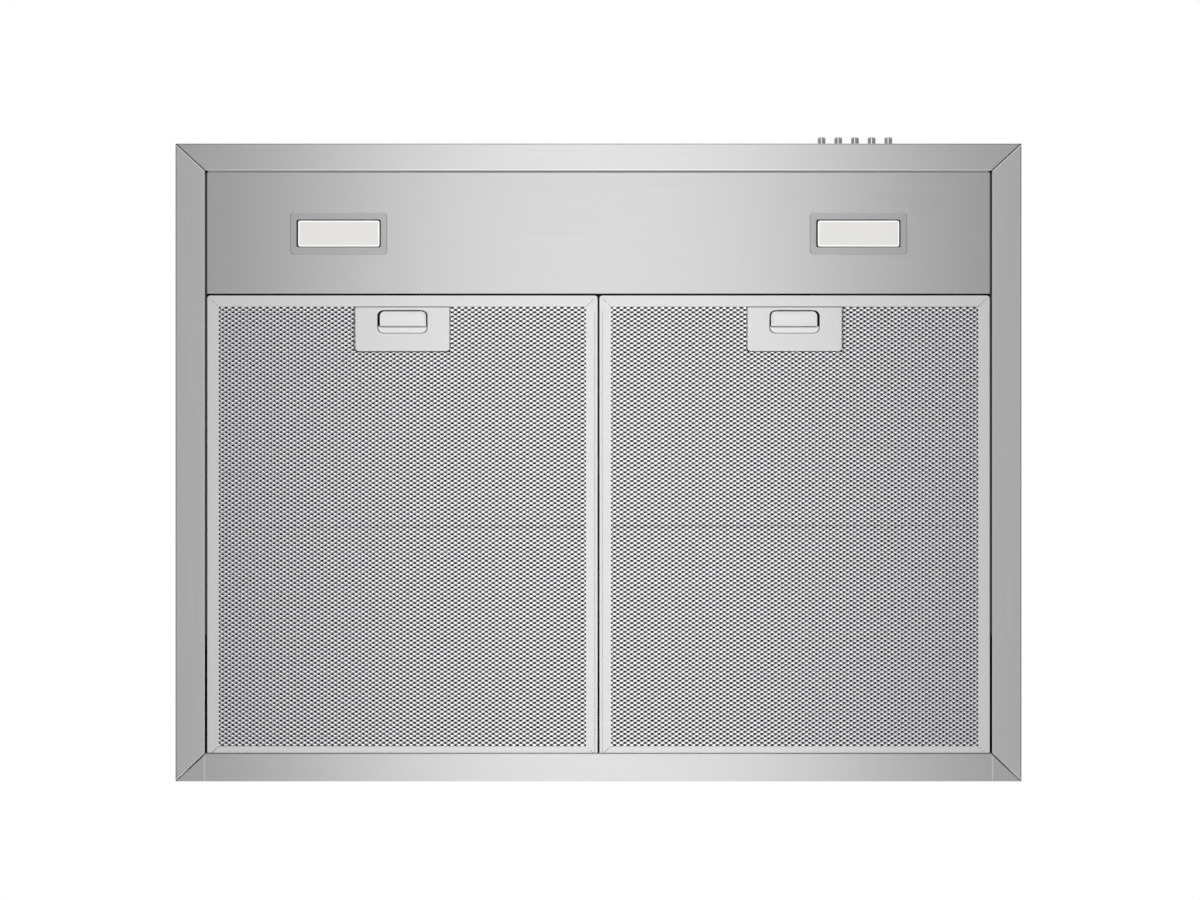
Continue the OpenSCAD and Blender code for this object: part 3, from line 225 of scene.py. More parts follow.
# A 180-grit belt leaves about nine lines a millimetre. They are drawn ten times as coarse, so that they show,
# and a hundred times as long as wide. They draw the highlights out across the lines.
BELT_ACROSS, BELT_ALONG = 9 / 10, 9 / 1000
canopy_steel = brushed("brushed_stainless_along", "#C6C6C7", 0.33, BELT_ACROSS, BELT_ALONG)
chimney_steel = brushed("brushed_stainless_upright", "#C6C6C7", 0.33, BELT_ACROSS, BELT_ALONG, upright=True)
dress("canopy_shell", canopy_steel, 0.4)
dress("back_panel", canopy_steel, 0.3, clamp=True)
dress("chimney_lower", chimney_steel, 0.25)
dress("chimney_upper", chimney_steel, 0.25)

# Brackets, boxes, blower and duct parts: zinc-coated steel sheet, punched, folded and riveted or screwed.
# Hot-dip zinc freezes in flat crystals of about 8 mm, so the dull grey surface is patchy in colour and gloss.
zinc, tree, shader = new_material("galvanised_sheet", Metallic=1.0)
place = add_node(tree, "ShaderNodeTexCoord").outputs["Object"]
crystals = add_node(tree, "ShaderNodeTexVoronoi", {"Vector": place, "Scale": 0.12 / MM})
patch = add_node(tree, "ShaderNodeSeparateColor", {0: crystals.outputs["Color"]})
shade = add_node(tree, "ShaderNodeMix", {0: patch, 6: linear("#9FA3A5"), 7: linear("#BFC2C4")},
                 data_type="RGBA")
tree.links.new(shade.outputs[2], shader.inputs["Base Color"])
vary_gloss(tree, shader, patch.outputs[1], 0.38, 0.55)
for name in ("switch_bracket", "junction_box", "junction_cover", "blower_box", "scroll_wrap",
             "scroll_plate_left", "scroll_plate_right", "motor_bracket", "impeller", "duct_collar",
             "damper_flap_front", "damper_flap_rear", "chimney_bracket", "lamp_housing_left",
             "lamp_housing_right"):
    dress(name, zinc)

# Rivets, screws, pins, motor shaft and latch springs: drawn steel wire and rod, headed, turned or coiled, and
# plated with bright zinc. The plating clouds over about 3 mm, so these small parts glint unevenly.
plated, tree, shader = new_material("bright_zinc_plate", Metallic=1.0, Base_Color=linear("#B9BBBE"))
vary_gloss(tree, shader, grain(tree, 0.3, 0.3, 0.3), 0.2, 0.38)
for name in ("panel_rivets", "light_panel_screws", "blower_screws", "chimney_screws", "bracket_screws",
             "damper_pin", "motor_shaft", "latch_spring_left", "latch_spring_right"):
    dress(name, plated)

# Lamps: a stamped steel bezel clipped in the light panel, an LED board in a zinc-coated housing, and a
# moulded polycarbonate lens whose flange rests in the bezel. The flange's underside is painted black, as
# the shade in the gap round the lens. The bezel's satin grain is shorter and softer than the belt's. The
# board's white lacquer is slightly wavy over about 5 mm.
bezel_steel = brushed("satin_bezel_steel", "#B2B2B4", 0.36, BELT_ACROSS, 0.04, uneven=0.03, anisotropy=0.3)
board, tree, shader = new_material("white_solder_mask", Base_Color=linear("#E9EAE6"))
vary_gloss(tree, shader, grain(tree, 0.2, 0.2, 0.2), 0.4, 0.6)

# The lens is frosted, which makes it milky. A painted glow stands in for light that spreads inside the
# plastic: a little at its face, and more at its edges, which are also painted white as a highlight. The
# frost's specks are below 0.1 mm and are drawn 2.5 mm wide.
POLYCARBONATE_IOR = 1.585
lens_looks = []
for name, tone, rough, painted_glow in (("frosted_polycarbonate_painted_glow", "#F8F7F3", 0.3, 0.1),
                                ("lens_edge_painted_glow", "#FFFFFF", 0.12, 0.4),
                                ("flange_painted_shade", "#0A0A0A", 0.7, 0.0)):
    look, tree, shader = new_material(name, Base_Color=linear(tone), Roughness=rough, IOR=POLYCARBONATE_IOR,
                                      Emission_Color=linear("#FFFFFF"), Emission_Strength=painted_glow)
    raise_surface(tree, shader, grain(tree, 0.4, 0.4, 0.4), 0.05, 0.1 * MM)
    lens_looks.append(look)


def start_cube(name, low, high):
    """A new cube between two corners, in edit mode with nothing selected."""
    if bpy.context.mode != "OBJECT":
        bpy.ops.object.mode_set(mode="OBJECT")
    bpy.ops.object.select_all(action="DESELECT")
    centre = (Vector(low) + Vector(high)) / 2
    bpy.ops.mesh.primitive_cube_add(size=1, location=centre, scale=Vector(high) - Vector(low))
    piece = bpy.context.object
    piece.name = piece.data.name = name
    bpy.ops.object.transform_apply(location=True, rotation=True, scale=True)
    bpy.ops.object.mode_set(mode="EDIT")
    bpy.ops.mesh.select_all(action="DESELECT")
    return piece


def choose(piece, kind, wanted):
    """Selects the faces, edges or points of the piece whose middle, and normal or direction, are wanted."""
    bpy.ops.object.mode_set(mode="EDIT")
    bpy.ops.mesh.select_mode(type=kind)
    bpy.ops.object.mode_set(mode="OBJECT")
    mesh = piece.data
    points = mesh.vertices
    for group in (mesh.vertices, mesh.edges, mesh.polygons):
        group.foreach_set("select", [False] * len(group))
    if kind == "FACE":
        for face in mesh.polygons:
            face.select = wanted(face.center, face.normal)
    elif kind == "EDGE":
        for edge in mesh.edges:
            a, b = (points[i].co for i in edge.vertices)
            edge.select = wanted((a + b) / 2, (b - a).normalized())
    else:
        for point in points:
            point.select = wanted(point.co, point.normal)
    bpy.ops.object.mode_set(mode="EDIT")


def round_edges(offset, segments):
    """Rounds the selected edges."""
    bpy.ops.mesh.bevel(offset=offset, segments=segments, affect="EDGES", clamp_overlap=False)


def apply_modifier(piece, kind, **settings):
    """Adds a modifier to the piece, sets it and applies it."""
    bpy.ops.object.mode_set(mode="OBJECT")
    bpy.context.view_layer.objects.active = piece
    made = piece.modifiers.new("step", kind)
    for key, value in settings.items():
        setattr(made, key, value)
    bpy.ops.object.modifier_apply(modifier=made.name)


def finish_mesh(piece, materials, body, angle=35, even=True):
    """Smooths walls that bend less than the angle, and gives the piece its materials and body."""
    bpy.ops.object.mode_set(mode="OBJECT")
    bpy.ops.object.select_all(action="DESELECT")
    piece.select_set(True)
    bpy.context.view_layer.objects.active = piece
    bpy.ops.object.shade_smooth_by_angle(angle=math.radians(angle))
    if even:
        apply_modifier(piece, "WEIGHTED_NORMAL", weight=100, keep_sharp=True)
    piece.data.materials.clear()
    for material in materials:
        piece.data.materials.append(material)
    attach(piece, body)
    return piece


# The lens fills the bezel's window and stands a little off its middle. Its lower edges are rounded, and a
# flange runs round its top.
LENS_EDGE, LENS_CORNER, LENS_FLANGE = 1.2 * MM, 1.8 * MM, 1.5 * MM
LENS_HALF = Vector((36.6 * MM, 11.75 * MM, 0))
LENS_SHIFT = Vector((0.15 * MM, 0.1 * MM, 0))
for side in ("left", "right"):
    dress("lamp_bezel_" + side, bezel_steel, 0.4)
    dress("led_board_" + side, board)
    low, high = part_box("lamp_lens_" + side)
    window_low, window_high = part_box("lamp_bezel_" + side)
    middle = (window_low + window_high) / 2 + LENS_SHIFT
    middle.z = 0
    lens = start_cube("lens_" + side, middle - LENS_HALF + Vector((0, 0, low.z)),
                      middle + LENS_HALF + Vector((0, 0, high.z - LENS_FLANGE)))
    choose(lens, "EDGE", lambda c, d: abs(d.z) > 0.9)
    round_edges(LENS_CORNER, 5)
    choose(lens, "EDGE", lambda c, d: abs(d.z) < 0.1 and c.z < low.z + 0.1 * MM)
    round_edges(LENS_EDGE, 2)
    # The flange lies in the middle of the bezel's skirt, which carries it
    choose(lens, "FACE", lambda c, n: n.z > 0.9)
    bpy.ops.mesh.extrude_region_move()
    flange_half = (high - low) / 2
    bpy.ops.transform.resize(value=(flange_half.x / LENS_HALF.x, flange_half.y / LENS_HALF.y, 1),
                             center_override=tuple(middle))
    bpy.ops.transform.translate(value=tuple(-LENS_SHIFT))
    bpy.ops.mesh.extrude_region_move(TRANSFORM_OT_translate={"value": (0, 0, LENS_FLANGE)})
    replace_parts(finish_mesh(lens, lens_looks, "hood"), "lamp_lens_" + side)
    # The walls and the rounded edges get the painted glow and highlight, and the underside of the flange the
    # painted black shade
    for face in lens.data.polygons:
        if -0.98 < face.normal.z < -0.1:
            face.material_index = 1
        elif face.normal.z < -0.98 and face.center.z > low.z + 1 * MM:
            face.material_index = 2

# Light panel: a duller stainless sheet than the canopy's, brushed along its width, with turned-up edges. It
# is screwed between two side rails of folded steel. The rails are coloured near black as painted shade, which
# shows in the gaps beside the filters, and they are dull and wavy over 5 mm.
panel_steel = brushed("brushed_stainless_panel", "#BDBDBE", 0.33, BELT_ACROSS, BELT_ALONG)
dress("light_panel", panel_steel, 0.3)
rail_shade, tree, shader = new_material("rail_painted_gap_shade", Base_Color=linear("#404042"))
vary_gloss(tree, shader, grain(tree, 0.2, 0.2, 0.2), 0.4, 0.6)
for side in ("left", "right"):
    dress("side_rail_" + side, rail_shade)

# Felt seal: a strip of grey wool felt, cut from sheet and glued behind the rim's front strip, where it closes
# the gap to the light panel. Loose fibres make it dull. They are finer than 0.1 mm and are drawn 1 mm wide.
FELT_WIDE, FELT_THICK, FELT_END = 12 * MM, 0.8 * MM, 1 * MM
felt, tree, shader = new_material("grey_wool_felt", Roughness=0.95)
fibres = grain(tree, 0.9, 0.9, 0.9)
shade = add_node(tree, "ShaderNodeMix", {0: fibres, 6: linear("#949494"), 7: linear("#B0B0B0")},
                 data_type="RGBA")
tree.links.new(shade.outputs[2], shader.inputs["Base Color"])
panel_low, panel_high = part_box("light_panel")
seal = start_cube("felt_seal", (panel_low.x + FELT_END, panel_low.y - FELT_WIDE, panel_low.z),
                  (panel_high.x - FELT_END, panel_low.y - 0.1 * MM, panel_low.z + FELT_THICK))
choose(seal, "EDGE", lambda c, d: abs(d.x) > 0.9)
round_edges(0.25 * MM, 3)
finish_mesh(seal, [felt], "hood")

# Push buttons: turned brass caps with a bevelled tip, pressed on the switches' stems. They are polished and
# chrome plated, so they mirror the room, with slight clouds of about 12 mm.
chrome, tree, shader = new_material("polished_chrome", Metallic=1.0, Base_Color=linear("#CACBCE"))
vary_gloss(tree, shader, grain(tree, 0.08, 0.08, 0.08), 0.08, 0.12)
for name in ("light", "off", "low", "medium", "high"):
    dress("button_" + name, chrome, 0.25, 3, curved=True, clamp=True)

# Plastic, rubber and the motor inside: moulded switch block, driver case, terminals, capacitor, bushing and
# grommets, the loom's sleeve, and the motor in its stoving enamel. Their gloss varies a little over 4 mm.
for name, tone, rough, members in (
        ("white_nylon", "#DEDDD6", 0.35, ("switch_block", "led_driver", "terminal_block", "motor_capacitor")),
        ("black_polyamide", "#1A1A1C", 0.5, ("cable_bushing", "wiring_loom")),
        ("black_rubber", "#121212", 0.75, ("motor_grommets",)),
        ("motor_enamel", "#2A2B2D", 0.4, ("motor",))):
    material, tree, shader = new_material(name, Base_Color=linear(tone))
    vary_gloss(tree, shader, grain(tree, 0.25, 0.25, 0.25), rough - 0.08, rough + 0.08)
    for member in members:
        dress(member, material)

# Filter frames: folded from 0.8 mm aluminium strip, mitred at the corners and rounded by the rolls. They are
# etched and satin anodised, so they are pale, with a wide soft shine. The etch is drawn about 2 mm coarse.
RAIL_SIDE, RAIL_END, RAIL_WALL = 10.5 * MM, 9.9 * MM, 0.8 * MM
RAIL_CORNER, RAIL_ROLL = 2.6 * MM, 0.35 * MM
SLOT_HALF, SLOT_OVER, SLOT_UNDER = 17 * MM, 0.8 * MM, 1.6 * MM
SLIT_HALF, SLIT_START, SLIT_PAST = 0.16 * MM, 2.4 * MM, 1 * MM
BEAD_IN, BEAD_HALF, BEAD_FRONT, BEAD_REAR = 2.7 * MM, 0.2 * MM, 4 * MM, 3 * MM
satin, tree, shader = new_material("satin_anodised_aluminium", Metallic=1.0, Base_Color=linear("#E1E1E2"))
etch = grain(tree, 0.6, 0.6, 0.6)
vary_gloss(tree, shader, etch, 0.36, 0.46)
raise_surface(tree, shader, etch, 0.1, 0.05 * MM)


def more_cube(low, high, turn=(0, 0, 0)):
    """One more cube in the mesh that is being edited."""
    centre = (Vector(low) + Vector(high)) / 2
    bpy.ops.mesh.primitive_cube_add(size=1, location=centre, scale=Vector(high) - Vector(low), rotation=turn)


def carve(piece, tool):
    """Cuts the tool out of the piece and deletes the tool."""
    apply_modifier(piece, "BOOLEAN", operation="DIFFERENCE", object=tool, solver="EXACT", use_self=True)
    bpy.data.objects.remove(tool)


def open_face(piece, low, high, level, hole_low, hole_high):
    """Opens the flat face at a height of a box between two corners, with a hole between two others."""
    choose(piece, "FACE", lambda c, n: abs(c.z - level) < NEAR and abs(n.z) > 0.9)
    thin = 0.1 * MM
    bpy.ops.mesh.inset(thickness=thin)
    mid, hole_mid = (low + high) / 2, (hole_low + hole_high) / 2
    inset = high - low - Vector((2 * thin, 2 * thin, 0))
    hole = hole_high - hole_low
    bpy.ops.transform.resize(value=(hole.x / inset.x, hole.y / inset.y, 1),
                             center_override=(mid.x, mid.y, level))
    bpy.ops.transform.translate(value=(hole_mid.x - mid.x, hole_mid.y - mid.y, 0))
    bpy.ops.mesh.delete(type="FACE")


def rolled(c, d, low, high):
    """Whether an edge of the frame runs round one of its flat faces, along the outline or round a corner."""
    in_x, in_y = min(c.x - low.x, high.x - c.x), min(c.y - low.y, high.y - c.y)
    return abs(d.z) < 0.1 and (min(in_x, in_y) < RAIL_CORNER * 0.3 or in_x + in_y < RAIL_CORNER)


for side, out in (("left", -1), ("right", 1)):
    low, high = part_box("filter_frame_" + side)
    rails = start_cube("filter_rails_" + side, low, high)
    flange = Vector((RAIL_SIDE, RAIL_END, 0))
    for level in (low.z, high.z):
        open_face(rails, low, high, level, low + flange, high - flange)
    # Rounded corners, then the rolled outer edges
    choose(rails, "EDGE", lambda c, d: abs(d.z) > 0.9)
    round_edges(RAIL_CORNER, 5)
    choose(rails, "EDGE", lambda c, d: rolled(c, d, low, high))
    round_edges(RAIL_ROLL, 3)
    apply_modifier(rails, "SOLIDIFY", thickness=RAIL_WALL, offset=-1, use_even_offset=True)
    # Slot for the slider's tongue in the front wall, a slit at each mitre, a bead line near the middle gap
    tongue_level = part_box("latch_slider_" + side)[1].z
    centre_x = (low.x + high.x) / 2
    tool = start_cube("rail_tool", (centre_x - SLOT_HALF, low.y - 1 * MM, tongue_level - SLOT_UNDER),
                      (centre_x + SLOT_HALF, low.y + 2 * MM, tongue_level + SLOT_OVER))
    for corner_x, way_x in ((low.x, 1), (high.x, -1)):
        for corner_y, way_y in ((low.y, 1), (high.y, -1)):
            start = Vector((corner_x + way_x * SLIT_START, corner_y + way_y * SLIT_START))
            end = Vector((corner_x + way_x * (RAIL_SIDE + SLIT_PAST),
                          corner_y + way_y * (RAIL_END + SLIT_PAST)))
            mid, reach = (start + end) / 2, (end - start).length / 2
            more_cube((mid.x - reach, mid.y - SLIT_HALF, low.z - 1 * MM),
                      (mid.x + reach, mid.y + SLIT_HALF, low.z + 1 * MM),
                      (0, 0, math.atan2(end.y - start.y, end.x - start.x)))
    bead_x = (high.x if out < 0 else low.x) + out * BEAD_IN
    more_cube((bead_x - BEAD_HALF, low.y + RAIL_END + BEAD_FRONT, low.z - BEAD_HALF),
              (bead_x + BEAD_HALF, high.y - BEAD_REAR, low.z + BEAD_HALF), (0, math.radians(45), 0))
    carve(rails, tool)
    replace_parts(finish_mesh(rails, [satin], "filter_" + side), "filter_frame_" + side)

# Filter nets: aluminium foil slit and drawn out to 6.16 mm by 3.99 mm a mesh, so that each knot is a short
# bar with two thin strands from each end. The knots are painted paler, as a highlight, and glossier, and the
# strands darker, as shade, and duller. The gloss varies over about 2 mm. Behind the filter's core lies a net
# of larger meshes.
NET_LONG, NET_SHORT, NET_RISE, NET_BACK = 6.16 * MM, 3.99 * MM, 0.25 * MM, 0.8
KNOT_LONG, HOLE_LONG, HOLE_SHORT = 0.17, 0.22, 0.48
INNER_COARSE, INNER_RISE = 1.5, 0.4 * MM
NET_LEVEL, NOTCH_GAP = 1.02 * MM, 0.7 * MM
net_looks = []
for name, tone, rough in (("aluminium_knots_painted_highlight", "#F0F0F4", 0.24),
                          ("aluminium_strands_painted_shade", "#BEBEC2", 0.4)):
    look, tree, shader = new_material(name, Metallic=1.0, Base_Color=linear(tone))
    vary_gloss(tree, shader, grain(tree, 0.5, 0.5, 0.5), rough - 0.06, rough + 0.06)
    net_looks.append(look)


def net_cell(name, long, short, level, rise):
    """One mesh of the net: a six-sided ring with its crest outside and its opening's edge at the level."""
    bpy.ops.object.select_all(action="DESELECT")
    bpy.ops.mesh.primitive_circle_add(vertices=6, radius=1, fill_type="NGON", rotation=(0, 0, math.pi / 2))
    piece = bpy.context.object
    piece.name = piece.data.name = name
    bpy.ops.object.transform_apply(location=True, rotation=True, scale=True)
    knot = KNOT_LONG * long
    choose(piece, "VERT", lambda c, n: abs(c.y) > 0.5)
    bpy.ops.transform.resize(value=(knot / 0.5, short / 2 / math.sin(math.pi / 3), 1),
                             center_override=(0, 0, 0))
    choose(piece, "VERT", lambda c, n: abs(c.y) < 0.1 * MM)
    bpy.ops.transform.resize(value=(long / 2 - knot, 1, 1), center_override=(0, 0, 0))
    bpy.ops.mesh.select_all(action="SELECT")
    bpy.ops.transform.translate(value=(0, 0, level - rise))
    bpy.ops.mesh.select_mode(type="FACE")
    bpy.ops.mesh.inset(thickness=0.01 * short)
    bpy.ops.transform.translate(value=(0, 0, rise))
    bpy.ops.transform.resize(value=(HOLE_LONG * long / (long / 2 - knot), HOLE_SHORT, 1),
                             center_override=(0, 0, level))
    bpy.ops.mesh.delete(type="FACE")
    return piece


def build_net(name, start, columns, rows, notch, long, short, level, rise, body):
    """A net of columns by rows of cells from a corner, cut out at the notch and closed on both sides."""
    piece = net_cell(name, long, short, level, rise)
    # The second cell lies half a mesh to the side and half a mesh on
    bpy.ops.mesh.select_all(action="SELECT")
    bpy.ops.mesh.duplicate_move(TRANSFORM_OT_translate={"value": (long / 2, short / 2, 0)})
    bpy.ops.mesh.select_all(action="SELECT")
    bpy.ops.transform.translate(value=(start[0] + long / 4, start[1] + short / 4, 0))
    for count, step in ((columns, (long, 0, 0)), (rows, (0, short, 0))):
        apply_modifier(piece, "ARRAY", count=count, use_relative_offset=False, use_constant_offset=True,
                       constant_offset_displace=step)
    notch_x, notch_half, notch_end = notch
    choose(piece, "FACE", lambda c, n: abs(c.x - notch_x) < notch_half and c.y < notch_end)
    bpy.ops.mesh.delete(type="FACE")
    # The other side, then the walls between the two at the border
    bpy.ops.mesh.select_all(action="SELECT")
    bpy.ops.mesh.duplicate_move()
    bpy.ops.transform.resize(value=(1, 1, -NET_BACK), center_override=(0, 0, level))
    bpy.ops.mesh.select_all(action="SELECT")
    bpy.ops.mesh.remove_doubles(threshold=2 * NEAR)
    bpy.ops.mesh.select_all(action="DESELECT")
    bpy.ops.mesh.select_mode(type="EDGE")
    bpy.ops.mesh.select_non_manifold(extend=False, use_wire=False, use_boundary=True, use_multi_face=False,
                                     use_non_contiguous=False, use_verts=False)
    bpy.ops.object.mode_set(mode="OBJECT")
    points = piece.data.vertices
    for edge in piece.data.edges:
        if edge.select:
            edge.select = sum(points[i].co.z for i in edge.vertices) / 2 < level - NEAR
    bpy.ops.object.mode_set(mode="EDIT")
    bpy.ops.mesh.extrude_region_move()
    bpy.ops.transform.resize(value=(1, 1, -NET_BACK), center_override=(0, 0, level))
    bpy.ops.mesh.select_all(action="SELECT")
    bpy.ops.mesh.remove_doubles(threshold=2 * NEAR)
    bpy.ops.mesh.normals_make_consistent(inside=False)
    finish_mesh(piece, net_looks, body, angle=60, even=False)
    # Faces along Y, the knots, get the painted highlight, and the other faces the painted shade
    for face in piece.data.polygons:
        face.material_index = 0 if abs(face.normal.x) < 0.1 else 1
    return piece


for side in ("left", "right"):
    body = "filter_" + side
    net_low, net_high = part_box("filter_mesh_" + side)
    plate_low, plate_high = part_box("latch_plate_" + side)
    wide, deep = net_high.x - net_low.x, net_high.y - net_low.y
    centre_x, centre_y = (net_low.x + net_high.x) / 2, (net_low.y + net_high.y) / 2
    notch = ((plate_low.x + plate_high.x) / 2, (plate_high.x - plate_low.x) / 2 + NOTCH_GAP,
             plate_high.y + NOTCH_GAP)
    # The front net is made in two halves, which keep each piece light
    columns, rows = int(wide / NET_LONG), int(deep / NET_SHORT)
    start = (centre_x - columns * NET_LONG / 2, centre_y - rows * NET_SHORT / 2)
    front_rows = rows // 2
    rear_start = (start[0], start[1] + front_rows * NET_SHORT)
    level = plate_low.z + NET_LEVEL + NET_RISE
    front = build_net("net_front_" + side, start, columns, front_rows, notch, NET_LONG, NET_SHORT, level,
                      NET_RISE, body)
    rear = build_net("net_rear_" + side, rear_start, columns, rows - front_rows, notch, NET_LONG, NET_SHORT,
                     level, NET_RISE, body)
    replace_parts(front, "filter_mesh_" + side)
    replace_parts(rear, "filter_mesh_" + side)
    # The inner net
    long, short = INNER_COARSE * NET_LONG, INNER_COARSE * NET_SHORT
    columns, rows = int(columns / INNER_COARSE), int(rows / INNER_COARSE)
    start = (centre_x - columns * long / 2, centre_y - rows * short / 2)
    build_net("net_inner_" + side, start, columns, rows, notch, long, short, net_high.z - INNER_RISE,
              INNER_RISE, body)

# Filter cores: corrugated layers of the same foil, stacked between the nets, coarser and duller. Their
# openings are drawn on the surface, as large as the inner net's meshes, so that dark and pale spots show
# through the front net and drift against its own pattern. The openings' dark tone is painted shade, from
# the depth behind them.
foil, tree, shader = new_material("layered_expanded_foil", Metallic=1.0, Roughness=0.45)
place = add_node(tree, "ShaderNodeTexCoord").outputs["Object"]
parts = add_node(tree, "ShaderNodeSeparateXYZ", {0: place}).outputs
waves = []
for distance, mesh in ((parts["X"], NET_LONG), (parts["Y"], NET_SHORT)):
    turn = add_node(tree, MATH, {0: distance, 1: 2 * math.pi / (INNER_COARSE * mesh)}, operation="MULTIPLY")
    waves.append(add_node(tree, MATH, {0: turn}, operation="COSINE"))
spots = add_node(tree, MATH, {0: waves[0], 1: waves[1]}, operation="MULTIPLY")
opening = add_node(tree, "ShaderNodeMapRange", {"Value": spots, "From Min": 0.1, "From Max": 0.35})
# The openings are painted dark, as the shade inside them
shade = add_node(tree, "ShaderNodeMix", {0: opening, 6: linear("#949497"), 7: linear("#303031")},
                 data_type="RGBA")
tree.links.new(shade.outputs[2], shader.inputs["Base Color"])
for side in ("left", "right"):
    dress("filter_core_" + side, foil)

# Filter latches: a pressed aluminium plate with a rolled, round-cornered window, fixed in the frame, and
# behind it a sprung slider with a finger pocket, a groove and a flat lip. Both are satin anodised, the slider
# a little paler. The slider's front tongue reaches through the frame's front wall. It and the underside of
# the plate's front tongue are painted near black, as the shade in the gaps round the window.
PLATE_DEEP, PLATE_THICK, PLATE_CORNER, PLATE_EDGE = 39.5 * MM, 1 * MM, 3 * MM, 0.3 * MM
WINDOW, WINDOW_FRONT = Vector((22.25 * MM, 10.35 * MM, 0)), 13.05 * MM
WINDOW_CORNER, WINDOW_ROLL = 5.4 * MM, 0.8 * MM
TONGUE_THICK, TONGUE_HALF = 0.3 * MM, 15 * MM
POCKET_FRONT, POCKET_BACK, POCKET_CORNER, POCKET_WALL = 19.0 * MM, 31.1 * MM, 4.2 * MM, 0.8 * MM
POCKET_OUT, POCKET_IN = 20.3 * MM, 21.1 * MM
GROOVE_DEEP, GROOVE_BACK, GROOVE_WALL = 2.4 * MM, 2.2 * MM, 0.8 * MM
LIP_GAP, LIP_CORNER = 0.45 * MM, 5 * MM
pocket, tree, shader = new_material("satin_latch_aluminium", Metallic=1.0, Base_Color=linear("#E7E7E8"))
vary_gloss(tree, shader, grain(tree, 0.3, 0.6, 0.3), 0.34, 0.42)
tongue, tree, shader = new_material("tongue_painted_shade", Metallic=1.0, Base_Color=linear("#161617"))
vary_gloss(tree, shader, grain(tree, 0.3, 0.3, 0.3), 0.4, 0.55)


def build_plate(side):
    """The latch plate of one filter. Gives the middle of its window too."""
    low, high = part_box("latch_plate_" + side)
    # The box starts at the plate's front tongue, which is in front of the plate itself
    sheet_low = Vector((low.x, high.y - PLATE_DEEP, low.z))
    sheet_high = Vector((high.x, high.y, low.z + PLATE_THICK))
    hole = Vector(((low.x + high.x) / 2, sheet_low.y + WINDOW_FRONT, 0))

    def in_window(c):
        return abs(c.x - hole.x) < WINDOW.x + 0.1 * MM and abs(c.y - hole.y) < WINDOW.y + 0.1 * MM

    def on_outline(c):
        from_side, from_rear = min(c.x - low.x, high.x - c.x), high.y - c.y
        return (min(from_side, from_rear, c.y - sheet_low.y) < 0.1 * MM
                or from_side + from_rear < PLATE_CORNER)

    plate = start_cube("plate_" + side, sheet_low, sheet_high)
    for level in (sheet_low.z, sheet_high.z):
        open_face(plate, sheet_low, sheet_high, level, hole - WINDOW, hole + WINDOW)
    choose(plate, "EDGE", lambda c, d: in_window(c))
    bpy.ops.mesh.bridge_edge_loops()
    choose(plate, "EDGE", lambda c, d: abs(d.z) > 0.9 and in_window(c))
    round_edges(WINDOW_CORNER, 8)
    choose(plate, "EDGE", lambda c, d: abs(d.z) > 0.9 and c.y > high.y - 1 * MM)
    round_edges(PLATE_CORNER, 5)
    # The window's rolled edge, then the sheared outer edge
    choose(plate, "EDGE", lambda c, d: in_window(c) and c.z < low.z + 0.1 * MM)
    round_edges(WINDOW_ROLL, 4)
    choose(plate, "EDGE", lambda c, d: on_outline(c) and abs(d.z) < 0.1 and c.z < low.z + 0.1 * MM)
    round_edges(PLATE_EDGE, 2)
    # Front tongue, side guides of the slider and rear wall
    more_cube((low.x + 0.5 * MM, low.y, sheet_high.z - TONGUE_THICK),
              (high.x - 0.5 * MM, sheet_low.y + 2 * MM, sheet_high.z))
    for guide_x in (low.x + 1 * MM, high.x - 2 * MM):
        more_cube((guide_x, sheet_low.y + 1 * MM, sheet_high.z), (guide_x + 1 * MM, high.y - 4 * MM, high.z))
    more_cube((low.x + 4 * MM, high.y - 1 * MM, sheet_high.z), (high.x - 4 * MM, high.y, high.z))
    finish_mesh(plate, [satin, tongue], "filter_" + side)
    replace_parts(plate, "latch_plate_" + side)
    # The underside of the front tongue gets the painted near-black shade
    for face in plate.data.polygons:
        if abs(face.center.z - sheet_high.z + TONGUE_THICK) < NEAR:
            face.material_index = 1
    return hole


def build_slider(side, out, hole):
    """The latch slider of one filter, whose lip ends just inside the rear edge of the plate's window."""
    low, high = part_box("latch_slider_" + side)
    middle = (low.x + high.x) / 2
    front, back, roof = low.y + POCKET_FRONT, low.y + POCKET_BACK, high.z
    start, end = sorted((middle + out * POCKET_OUT, middle - out * POCKET_IN))
    lip_half, lip_end = WINDOW.x - LIP_GAP, hole.y + WINDOW.y - LIP_GAP
    groove_end = back + GROOVE_BACK
    slider = start_cube("slider_" + side, (start, front, low.z), (end, back, roof))
    choose(slider, "EDGE", lambda c, d: abs(d.z) > 0.9 and c.y < front + 1 * MM)
    round_edges(POCKET_CORNER, 6)
    # The finger pocket, then the groove's floor and its rear wall, the lip and the tongue
    choose(slider, "FACE", lambda c, n: n.z < -0.9)
    bpy.ops.mesh.inset(thickness=POCKET_WALL)
    bpy.ops.mesh.extrude_region_move(TRANSFORM_OT_translate={"value": (0, 0, roof - POCKET_WALL - low.z)})
    groove_top = low.z + GROOVE_DEEP
    more_cube((start, back - 0.4 * MM, groove_top - GROOVE_WALL), (end, groove_end, groove_top))
    more_cube((start, groove_end - GROOVE_WALL, low.z), (end, groove_end, groove_top))
    more_cube((middle - lip_half, groove_end - GROOVE_WALL, low.z),
              (middle + lip_half, lip_end, low.z + POCKET_WALL))
    more_cube((middle - TONGUE_HALF, low.y, roof - POCKET_WALL),
              (middle + TONGUE_HALF, front + 0.4 * MM, roof))
    choose(slider, "EDGE", lambda c, d: abs(d.z) > 0.9 and c.y > lip_end - 0.1 * MM)
    round_edges(LIP_CORNER, 8)
    finish_mesh(slider, [pocket, tongue], "latch_" + side)
    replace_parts(slider, "latch_slider_" + side)
    # The tongue in front of the pocket gets the painted near-black shade
    for face in slider.data.polygons:
        if face.center.y < front - 1 * MM:
            face.material_index = 1


for side, out in (("left", -1), ("right", 1)):
    hole = build_plate(side)
    build_slider(side, out, hole)

